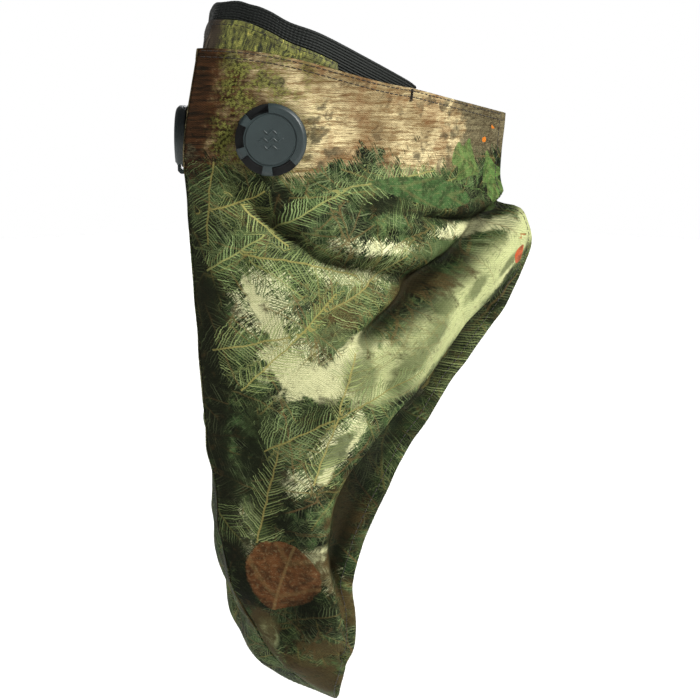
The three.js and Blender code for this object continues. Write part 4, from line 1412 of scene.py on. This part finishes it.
def camo_colour(t, place):
    """The print's colour, as a socket; place is the place on the flat cloth in millimetres."""
    x, y, _ = t.split(place)
    ridge = t.math("ABSOLUTE", t.split(pattern_place(t))[0])
    broad = t.noise(place, 0.022, 4, 0.6)
    middle = t.noise(place, 0.075, 4, 0.62, 0.6)
    fine = t.noise(place, 0.55, 3, 0.65)
    ragged = t.less(t.noise(place, 0.11, 4, 0.65), 0.5)
    rising = strands(t, place, 38)
    falling = strands(t, place, -58, 8.0, 0.75, 0.8)
    lying = strands(t, place, 6, 11.0, 0.9, 0.6)
    # Undergrowth: dark, with mottling, fine bright strands and specks.
    colour = t.mix(t.step(middle, 0.40, 0.62), linear(9, 13, 6), linear(40, 59, 32))
    colour = t.mix(t.times(t.step(broad, 0.48, 0.62), t.step(middle, 0.46, 0.62)), colour,
                   linear(80, 106, 62))
    colour = t.mix(t.times(t.step(t.noise(place, 0.05, 5, 0.7, 1.2), 0.58, 0.66), 0.5), colour,
                   linear(86, 62, 34))
    bright = t.math("MAXIMUM", t.step(rising, 0.56, 0.66), t.step(falling, 0.57, 0.67))
    colour = t.mix(t.times(bright, t.step(middle, 0.40, 0.58, 0.25, 0.8)), colour, linear(114, 132, 78))
    colour = t.mix(t.times(t.step(fine, 0.62, 0.70), 0.7), colour, linear(146, 158, 100))

    def twigs(label, colour, strength, stem_strength, width=1.0):
        needle, stem, chance = twig_marks(t, label, width)
        tint = t.node("Attribute", attribute_name=label + "_tint").outputs["Color"]
        dim = t.mix(0.6, tint, linear(20, 28, 10))
        lit = t.mix(0.3, tint, linear(188, 204, 148))
        colour = t.mix(t.times(needle, strength), colour, t.mix(chance, dim, lit))
        return t.mix(t.times(stem, stem_strength), colour, t.mix(0.35, tint, linear(176, 140, 92)))

    patches = t.node("Attribute", attribute_name="patches")
    tones = t.node("Attribute", attribute_name="tones")
    cream, dark, grey = t.split(patches.outputs["Vector"])
    pale, blot, sliver = t.split(tones.outputs["Vector"])
    shade = tones.outputs["Alpha"]

    def patch(colour, field, dim, tint, rough, soft, strength=1.0):
        mask = t.step(t.add(field, t.times(ragged, rough)), 0.6 - soft, 0.6 + soft)
        return t.mix(t.times(mask, strength), colour, t.mix(fine, linear(*dim), linear(*tint)))

    gaps = t.step(t.add(sliver, t.times(ragged, 2.4), t.times(t.less(rising, 0.5), 2.4),
                        t.times(t.less(falling, 0.5), 1.2)), 0.80, 1.0)
    colour = t.mix(gaps, colour, t.mix(fine, linear(190, 192, 142), linear(240, 238, 194)))
    colour = twigs("far", colour, 0.9, 0.6, t.add(1.0, t.times(gaps, 0.5)))
    colour = patch(colour, cream, (178, 178, 130), (218, 217, 170), 2.2, 0.2, 0.95)
    # Paler cloth with a painted highlight along the rolled fold.
    colour = patch(colour, pale, (154, 164, 106), (204, 206, 154), 0.7, 0.35,
                   t.less(0.96, t.times(t.step(rising, 0.58, 0.66), 0.5)))
    colour = patch(colour, blot, (70, 78, 46), (92, 100, 64), 1.6, 0.45, 0.8)
    colour = patch(colour, grey, (50, 64, 36), (88, 104, 64), 3.0, 0.2, 0.8)
    # Dark print, and painted shadow in the crease under the wing and along the tuck.
    colour = patch(colour, dark, (12, 16, 8), (34, 40, 20), 3.0, 0.35, 0.85)
    # Dark stalks and needles in front of it.
    stalks = t.math("MAXIMUM", t.step(falling, 0.40, 0.33), t.step(lying, 0.38, 0.31))
    open_cloth = t.math("MAXIMUM", t.step(pale, 0.3, 0.7), t.step(cream, 0.7, 1.1))
    colour = t.mix(t.times(stalks, t.less(0.85, t.times(open_cloth, 0.8))), colour, linear(16, 22, 10))
    seen = t.times(t.step(t.noise(place, 0.03, 2, 0.5), 0.36, 0.52), t.less(0.95, t.times(open_cloth, 0.5)))
    colour = twigs("middle", colour, seen, t.times(seen, 0.6), 0.9)
    # Painted shade: the shade patches darken the print towards near black.
    colour = t.mix(t.times(t.step(t.add(shade, t.times(ragged, 2.6)), 0.1, 1.1), 0.62), colour,
                   linear(10, 13, 6))
    colour = patch(colour, patches.outputs["Alpha"], (48, 38, 20), (90, 74, 44), 3.4, 0.4,
                   t.less(0.78, t.times(stalks, 0.7)))
    # Weathered wood along the top: long streaks, dark cracks and blotches.
    warped = t.join(t.times(x, 0.09), t.add(y, t.times(ragged, 3.0)))
    grain = t.noise(warped, 0.42, 6, 0.72, 0.3)
    crack = t.noise(t.join(t.times(x, 0.07), t.add(y, t.times(ragged, 2.0))), 1.1, 4, 0.7)
    wood = t.mix(t.step(grain, 0.38, 0.60), linear(130, 106, 70), linear(216, 199, 152))
    thread_like = t.noise(t.join(t.times(x, 0.12), t.add(y, ragged)), 2.3, 3, 0.7)
    wood = t.mix(t.times(t.step(thread_like, 0.54, 0.62), 0.55), wood, linear(92, 58, 34))
    wood = t.mix(t.times(t.step(thread_like, 0.45, 0.38), 0.5), wood, linear(226, 214, 170))
    wood = t.mix(t.times(t.step(crack, 0.54, 0.64), 0.75), wood, linear(62, 44, 26))
    wood = t.mix(t.times(t.step(broad, 0.56, 0.42), 0.6), wood, linear(96, 74, 44))
    wood = t.mix(t.times(t.step(t.noise(place, 0.035, 3, 0.6), 0.50, 0.60), 0.5), wood, linear(112, 74, 42))
    wood = t.mix(t.times(t.step(t.add(middle, t.times(t.less(grain, 0.5), 0.4)), 0.58, 0.66), 0.55), wood,
                 linear(58, 42, 24))
    wood = t.mix(t.step(t.add(x, t.times(ragged, 90.0)), 60, 10), wood,
                 t.mix(t.step(grain, 0.36, 0.66), linear(18, 11, 6), linear(80, 50, 28)))
    tufts = t.step(t.add(middle, t.times(t.less(fine, 0.5), 0.5)), 0.40, 0.60)
    moss = t.times(t.step(x, 8, 24), t.step(x, 84, 40), tufts)
    wood = t.mix(t.times(moss, 0.85), wood, t.mix(t.step(fine, 0.4, 0.6), linear(34, 40, 14),
                                                  linear(122, 124, 62)))
    char = t.math("MAXIMUM", t.step(t.add(x, t.times(ragged, 90.0)), 164, 184),
                  t.times(t.step(broad, 0.52, 0.58), t.step(middle, 0.52, 0.60), 0.8))
    flecks = t.step(t.add(t.times(fine, 0.4), t.times(thread_like, 0.6)), 0.42, 0.60)
    wood = t.mix(t.times(char, 0.82), wood, t.mix(flecks, linear(24, 23, 16), linear(104, 98, 74)))
    # Fringes of needles overlap the wood's lower edge.
    edge = t.add(t.times(t.less(broad, 0.5), 60.0), t.times(t.less(middle, 0.5), 34.0),
                 t.times(t.less(falling, 0.5), 46.0))
    colour = t.mix(t.step(t.add(y, edge), -14, -9), colour, wood)
    colour = twigs("near", colour, 0.82, 0.8, 1.1)
    # The cloth's front edge is darker, less so near the tip: partly dark print, partly painted shade where
    # the cloth turns away from the light.
    edge = t.times(t.step(t.add(ridge, t.times(ragged, 20.0)), 20, 3), t.step(y, -290, -240, 0.1, 0.5))
    colour = t.mix(edge, colour, linear(16, 15, 8))
    # Leaves: a lobed outline about X, with ribs.
    leaf = t.node("Attribute", attribute_name="leaf")
    tint = t.node("Attribute", attribute_name="leaf_tint")
    lx, ly, lobes = t.split(leaf.outputs["Vector"])
    away = t.add(t.math("ABSOLUTE", ly), t.times(ragged, 0.12))
    arch = t.math("POWER", t.math("MAXIMUM", t.math("MINIMUM", lx, 1.0), 0.0), 1.35)
    arch = t.math("SINE", t.times(arch, math.pi))
    arch = t.math("POWER", arch, 0.55)
    wave = t.math("SINE", t.times(t.less(lx, t.times(away, 0.6)), lobes, 2 * math.pi))
    lobed = t.times(leaf.outputs["Alpha"], t.add(0.5, t.times(wave, 0.5)))
    outline = t.times(arch, 0.42, t.less(1.0, lobed))
    mask = t.step(t.less(outline, away), 0.0, 0.03)
    ribs = t.math("FRACT", t.times(t.less(lx, t.times(away, 0.9)), lobes, 2.0))
    ribs = t.times(t.less(1.0, t.step(t.math("ABSOLUTE", t.less(ribs, 0.5)), 0.03, 0.12)), 0.5)
    ribs = t.math("MAXIMUM", t.less(1.0, t.step(t.math("ABSOLUTE", ly), 0.004, 0.022)), ribs)
    own = tint.outputs["Color"]
    body = t.mix(t.step(t.noise(place, 0.16, 4, 0.65), 0.38, 0.60), t.mix(0.6, own, linear(24, 20, 10)), own)
    body = t.mix(t.times(t.step(fine, 0.5, 0.7), 0.28), body, t.mix(0.4, own, linear(214, 200, 150)))
    body = t.mix(t.times(ribs, 0.3), body, linear(150, 130, 84))
    colour = t.mix(t.times(mask, 0.92), colour, body)
    return t.mix(t.step(tint.outputs["Alpha"], 0.45, 0.6), colour, linear(196, 112, 36))


def knit(t, place, pitch=1.1):
    """Rows of small slanted loops: height for the bump, 0 to 1."""
    x, y, _ = t.split(place)
    row = t.math("DIVIDE", y, pitch)
    zigzag = t.math("ABSOLUTE", t.less(t.math("FRACT", t.math("DIVIDE", x, 1.6 * pitch)), 0.5))
    loops = t.math("SINE", t.times(t.add(row, t.times(zigzag, 0.9)), 2 * math.pi))
    holes = t.math("SINE", t.times(t.math("DIVIDE", x, 0.8 * pitch), 2 * math.pi))
    return t.add(0.5, t.times(loops, 0.38), t.times(holes, 0.12))


def pattern_place(t, shift=(0, 0, 0), mirrored=False):
    uv = t.node("UVMap", uv_map="Pattern").outputs[0]
    sign = -100.0 if mirrored else 100.0
    place = t.vector("MULTIPLY", uv, (sign, 100.0, 0.0))
    return t.vector("ADD", place, shift)


def cloth_material(name, mirrored):
    material, t, shader = new_material(name, 0.62, Specular_IOR_Level=0.06, Sheen_Weight=0.0,
                                       Sheen_Roughness=0.4)
    place = pattern_place(t, (*MIRROR_SHIFT, 0) if mirrored else (0, 0, 0), mirrored)
    colour = camo_colour(t, place)
    # Painted shade: the print is darkened towards near black where the folds sink in, from 2.5 mm deep to
    # full at 10.5 mm.
    fold_shade_depth = t.node("Attribute", attribute_name="fold_shade_depth").outputs["Fac"]
    colour = t.mix(t.times(t.step(fold_shade_depth, -2.5, -10.5), 0.74), colour, linear(14, 16, 8))
    height = knit(t, place)
    worn = t.noise(place, 0.25, 3, 0.6)
    # Painted shade between the knit's loops: the colour darkens where the knit is low.
    colour = t.mix(t.times(t.less(1.0, height), 0.28), colour, linear(16, 16, 10))
    return dressed(material, t, shader, colour, t.add(0.58, t.times(worn, 0.22)), 0.35, 0.0004,
                   t.add(height, t.times(worn, 0.4)))


def grass_material():
    """The nose cover's cloth: yellow-green grass with a dark reddish left part."""
    material, t, shader = new_material("cover_cloth", 0.7, Specular_IOR_Level=0.3, Sheen_Weight=0.1)
    place = pattern_place(t)
    x, y, _ = t.split(place)
    tall = t.join(x, t.times(y, 0.25))
    bent = t.vector("ADD", tall, t.scaled(t.noise(place, 0.1, 2, 0.5, colour=True), 5.0))
    blades = t.noise(bent, 0.75, 4, 0.7)
    clumps = t.noise(place, 0.13, 4, 0.65)
    colour = t.mix(t.step(blades, 0.36, 0.6), linear(24, 30, 12), linear(128, 130, 62))
    colour = t.mix(t.times(t.step(blades, 0.58, 0.68), t.step(clumps, 0.42, 0.6)), colour,
                   linear(196, 182, 92))
    colour = t.mix(t.times(t.step(clumps, 0.56, 0.44), 0.5), colour, linear(46, 42, 20))
    dark = t.step(t.add(x, t.times(t.less(clumps, 0.5), 14.0)), 12, 4)
    colour = t.mix(dark, colour, t.mix(blades, linear(20, 14, 9), linear(66, 52, 34)))
    height = knit(t, place)
    # Painted shade between the knit's loops: the colour darkens where the knit is low.
    colour = t.mix(t.times(t.less(1.0, height), 0.25), colour, linear(16, 16, 10))
    return dressed(material, t, shader, colour, t.add(0.6, t.times(clumps, 0.2)), 0.3, 0.0004, height)


def object_place(t, scale=1000.0):
    """Position on the piece itself, in millimetres."""
    return t.scaled(t.node("TexCoord").outputs["Object"], scale)


def elastic_material():
    material, t, shader = new_material("elastic_webbing", 0.62, Specular_IOR_Level=0.3, Sheen_Weight=0.05,
                                       Sheen_Roughness=0.5)
    place = pattern_place(t)
    x, y, _ = t.split(place)
    yarn = t.math("SINE", t.times(t.add(x, t.times(y, 0.4)), 2 * math.pi / 0.9))
    fuzz = t.noise(place, 1.6, 3, 0.65)
    colour = t.mix(t.step(t.add(t.times(yarn, 0.2), fuzz), 0.3, 0.8), linear(3, 5, 4),
                   linear(20, 27, 23))
    return dressed(material, t, shader, colour, t.add(0.5, t.times(fuzz, 0.25)), 0.3, 0.0002,
                   t.add(t.times(yarn, 0.5), fuzz))


def surface_material(name, dark, light, low, high, grain, coarse=0.05, bump=0.1, depth=0.00005,
                     **sockets):
    """A finish with fine grain, soft larger variation and a matching bump."""
    material, t, shader = new_material(name, low, **sockets)
    place = object_place(t)
    fine = t.noise(place, grain, 4, 0.6)
    broad = t.noise(place, coarse, 3, 0.55)
    mixed = t.add(t.times(fine, 0.6), t.times(broad, 0.4))
    colour = t.mix(t.step(mixed, 0.34, 0.66), linear(*dark), linear(*light))
    return dressed(material, t, shader, colour, t.blend_values(mixed, low, high), bump, depth, fine)


def felt_material():
    material, t, shader = new_material("filter_felt", 0.9, Specular_IOR_Level=0.15, Sheen_Weight=0.25)
    place = pattern_place(t)
    tangled = t.vector("ADD", place, t.scaled(t.noise(place, 0.9, 2, 0.5, colour=True), 2.2))
    fibres = t.noise(tangled, 2.2, 4, 0.75)
    specks = t.voronoi(place, 0.7)
    colour = t.mix(t.step(fibres, 0.34, 0.62), linear(40, 41, 42), linear(92, 93, 92))
    colour = t.mix(t.step(specks, 0.16, 0.08), colour, linear(22, 22, 23))
    return dressed(material, t, shader, colour, t.add(0.8, t.times(fibres, 0.15)), 0.5, 0.0003, fibres)


# ---------- assembly ----------
THREAD_TINT = ((20, 17, 14), (48, 40, 32))
clothes = (Cloth(False), Cloth(True))
shell_cloth = (cloth_material("camo_cloth_left", False), cloth_material("camo_cloth_right", True))
cover_cloth = grass_material()
webbing = elastic_material()
felt = felt_material()
thread = surface_material("sewing_thread", *THREAD_TINT, 0.55, 0.8, 2.5, 0.1, 0.25, 0.0001,
                          Specular_IOR_Level=0.3, Sheen_Weight=0.2)
cap_plastic = surface_material("cap_plastic", (26, 35, 36), (44, 56, 57), 0.38, 0.52, 3.2, 0.03, 0.12,
                               0.00006, Specular_IOR_Level=0.5)
dark_plastic = surface_material("inner_plastic", (5, 6, 6), (13, 15, 16), 0.45, 0.6, 2.8, 0.04, 0.1,
                                0.00006, Specular_IOR_Level=0.3)
silicone = surface_material("silicone", (168, 172, 168), (196, 199, 194), 0.3, 0.42, 1.6, 0.06, 0.06,
                            0.00005, Subsurface_Weight=0.15, Subsurface_Scale=0.002)
tape_cloth = surface_material("bias_tape", (18, 18, 17), (44, 44, 42), 0.75, 0.92, 1.9, 0.1, 0.35, 0.0002,
                              Sheen_Weight=0.2)
hook_nylon = surface_material("hook_and_loop", (16, 17, 19), (42, 44, 48), 0.6, 0.85, 2.2, 0.1, 0.5,
                              0.0003, Sheen_Weight=0.35)
bright_metal = surface_material("aluminium", (150, 153, 156), (205, 207, 208), 0.26, 0.42, 2.4, 0.08,
                                0.15, 0.00004, Metallic=1.0)


def finish(obj, material, slot, *replaced):
    obj.data.materials.clear()
    obj.data.materials.append(material)
    if replaced:
        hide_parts(*replaced)
    return obj


def over_the_fold(obj):
    """The piece's placement is baked into its mesh."""
    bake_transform(obj)


for cloth, side, word, print_cloth in zip(clothes, (1, -1), ("left", "right"), shell_cloth):
    panel = cloth_panel(f"{word}_cloth_panel", cloth)
    finish(panel, print_cloth, "camo_cloth", f"shell_{word}_front", f"shell_{word}_wing")
    seams = panel_stitches(f"{word}_hem_stitches", cloth)
    finish(seams, thread, "thread")
    over_the_fold(panel)
    over_the_fold(seams)
    tack = bar_tack(f"{word}_bar_tack_threads", cloth)
    finish(tack, thread, "thread", f"{word}_bar_tack")
    over_the_fold(tack)

cover, cover_seams = nose_cover(clothes[0])
finish(cover, cover_cloth, "camo_cloth", "nose_cover")
finish(cover_seams, thread, "thread")
band, band_seams = elastic_band()
finish(band, webbing, "elastic", "elastic_band")
finish(band_seams, thread, "thread")
sleeve = cover_strip("wire_sleeve_tape", clothes[0], 0.4, 8.8, 17.0, COVER_HALF + 1.9, 0.3, 121, 15, 0.25)
finish(sleeve, tape_cloth, "seam_tape", "nose_wire_sleeve")
wire = cover_strip("nose_wire_strip", clothes[0], 0.36, 10.6, 15.2, COVER_HALF + 0.95, 0.4, 121, 7)
finish(wire, bright_metal, "aluminium", "nose_wire")
tape, tape_seams = seam_tape(clothes)
finish(tape, tape_cloth, "seam_tape", "front_seam_tape")
finish(tape_seams, thread, "thread")
pad = filter_pad(clothes)
finish(pad, felt, "filter_cloth", "filter_pad")
for obj in (cover, cover_seams, band, band_seams, sleeve, wire, tape, tape_seams, pad):
    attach(obj, "root")

bristles = random.Random(7)
hook, *hook_grid = wing_tab("hook_tape", clothes[0], 6, 26, False, 0.6)
finish(hook, hook_nylon, "hook_and_loop", "hook_tab")
hook_bristles = hooks("hook_bristles", *hook_grid, 0.6, bristles)
finish(hook_bristles, hook_nylon, "hook_and_loop")
hook_seams = tab_stitches("hook_tape_stitches", *hook_grid[:2], 0.45)
finish(hook_seams, thread, "thread")
loop, *loop_grid = wing_tab("loop_tape", clothes[1], 6, 42, True, 0.45)
finish(loop, hook_nylon, "hook_and_loop", "loop_tab")
loop_seams = tab_stitches("loop_tape_stitches", *loop_grid[:2], 0.4)
finish(loop_seams, thread, "thread")
for obj in (hook, hook_bristles, hook_seams):
    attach(obj, "left_wing")
for obj in (loop, loop_seams):
    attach(obj, "right_wing")

for side in (1, -1):
    word = "left" if side > 0 else "right"
    pieces = valve(side)
    finish(pieces["cap"], cap_plastic, "cap_plastic", f"{word}_valve_cap")
    finish(pieces["mark"], cap_plastic, "cap_plastic")
    finish(pieces["base"], dark_plastic, "inner_plastic", f"{word}_valve_base")
    finish(pieces["flap"], silicone, "silicone", f"{word}_valve_flap")
    finish(pieces["gasket"], silicone, "silicone", f"{word}_valve_gasket")
    finish(pieces["nut"], dark_plastic, "inner_plastic", f"{word}_valve_ring_nut")
    for part, body in (("cap", f"{word}_valve_cap"), ("mark", f"{word}_valve_cap"), ("base", "root"),
                       ("flap", f"{word}_valve_flap"), ("gasket", "root"), ("nut", "root")):
        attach(pieces[part], body)

# ---------- floor, lights, camera ----------
scene = bpy.context.scene
floor_mesh = bmesh.new()
bmesh.ops.create_grid(floor_mesh, x_segments=2, y_segments=2, size=6)
floor_data = bpy.data.meshes.new("floor")
floor_mesh.to_mesh(floor_data)
floor_mesh.free()
floor = bpy.data.objects.new("floor", floor_data)
floor.location.z = -0.52
scene.collection.objects.link(floor)
floor_material, t, shader = new_material("pale_floor", 0.9, Specular_IOR_Level=0.1)
t.put(shader.inputs["Base Color"], t.mix(t.noise(object_place(t, 1.0), 3.0, 2, 0.5),
                                         linear(250, 250, 249), linear(253, 253, 253)))
floor_data.materials.append(floor_material)

world = bpy.data.worlds.new("studio")
world.use_nodes = True
sky = Tree(world.node_tree)
backdrop = world.node_tree.nodes["Background"]
backdrop.inputs["Color"].default_value = (1, 1, 1, 1)
sky.put(backdrop.inputs["Strength"],
        sky.blend_values(sky.node("LightPath").outputs["Is Camera Ray"], 0.15, 1.0))
scene.world = world


def lamp(kind, name, place, target, power, colour=(1, 1, 1), **settings):
    data = bpy.data.lights.new(name, kind)
    data.energy = power
    data.color = colour
    for key, value in settings.items():
        setattr(data, key, value)
    light = bpy.data.objects.new(name, data)
    light.location = place
    light.rotation_euler = (Vector(target) - Vector(place)).to_track_quat("-Z", "Y").to_euler()
    scene.collection.objects.link(light)


lamp("SUN", "key", (2.0, 0.55, 1.45), (0, 0, 0), 5.3, (1.0, 0.995, 0.96), angle=math.radians(8))
lamp("SUN", "back", (-1.2, 1.5, 0.9), (0, 0, 0), 1.3, (0.96, 0.98, 1.0), angle=math.radians(20))
lamp("AREA", "fill", (0.6, -1.4, 0.5), (0, 0, -0.15), 0.7, size=1.2)

azimuth, elevation = math.radians(45), math.radians(8)
back = Vector((math.sin(azimuth) * math.cos(elevation), -math.cos(azimuth) * math.cos(elevation),
               math.sin(elevation)))
right = Vector((math.cos(azimuth), math.sin(azimuth), 0))
up = back.cross(right)
camera_data = bpy.data.cameras.new("camera")
camera_data.lens = 78.8
camera_data.sensor_width = 36
camera = bpy.data.objects.new("camera", camera_data)
camera.matrix_world = Matrix((right, up, back)).transposed().to_4x4()
camera.location = (0.67027, -0.64255, 0.00288)
scene.collection.objects.link(camera)
scene.camera = camera
scene.view_settings.view_transform = "Standard"
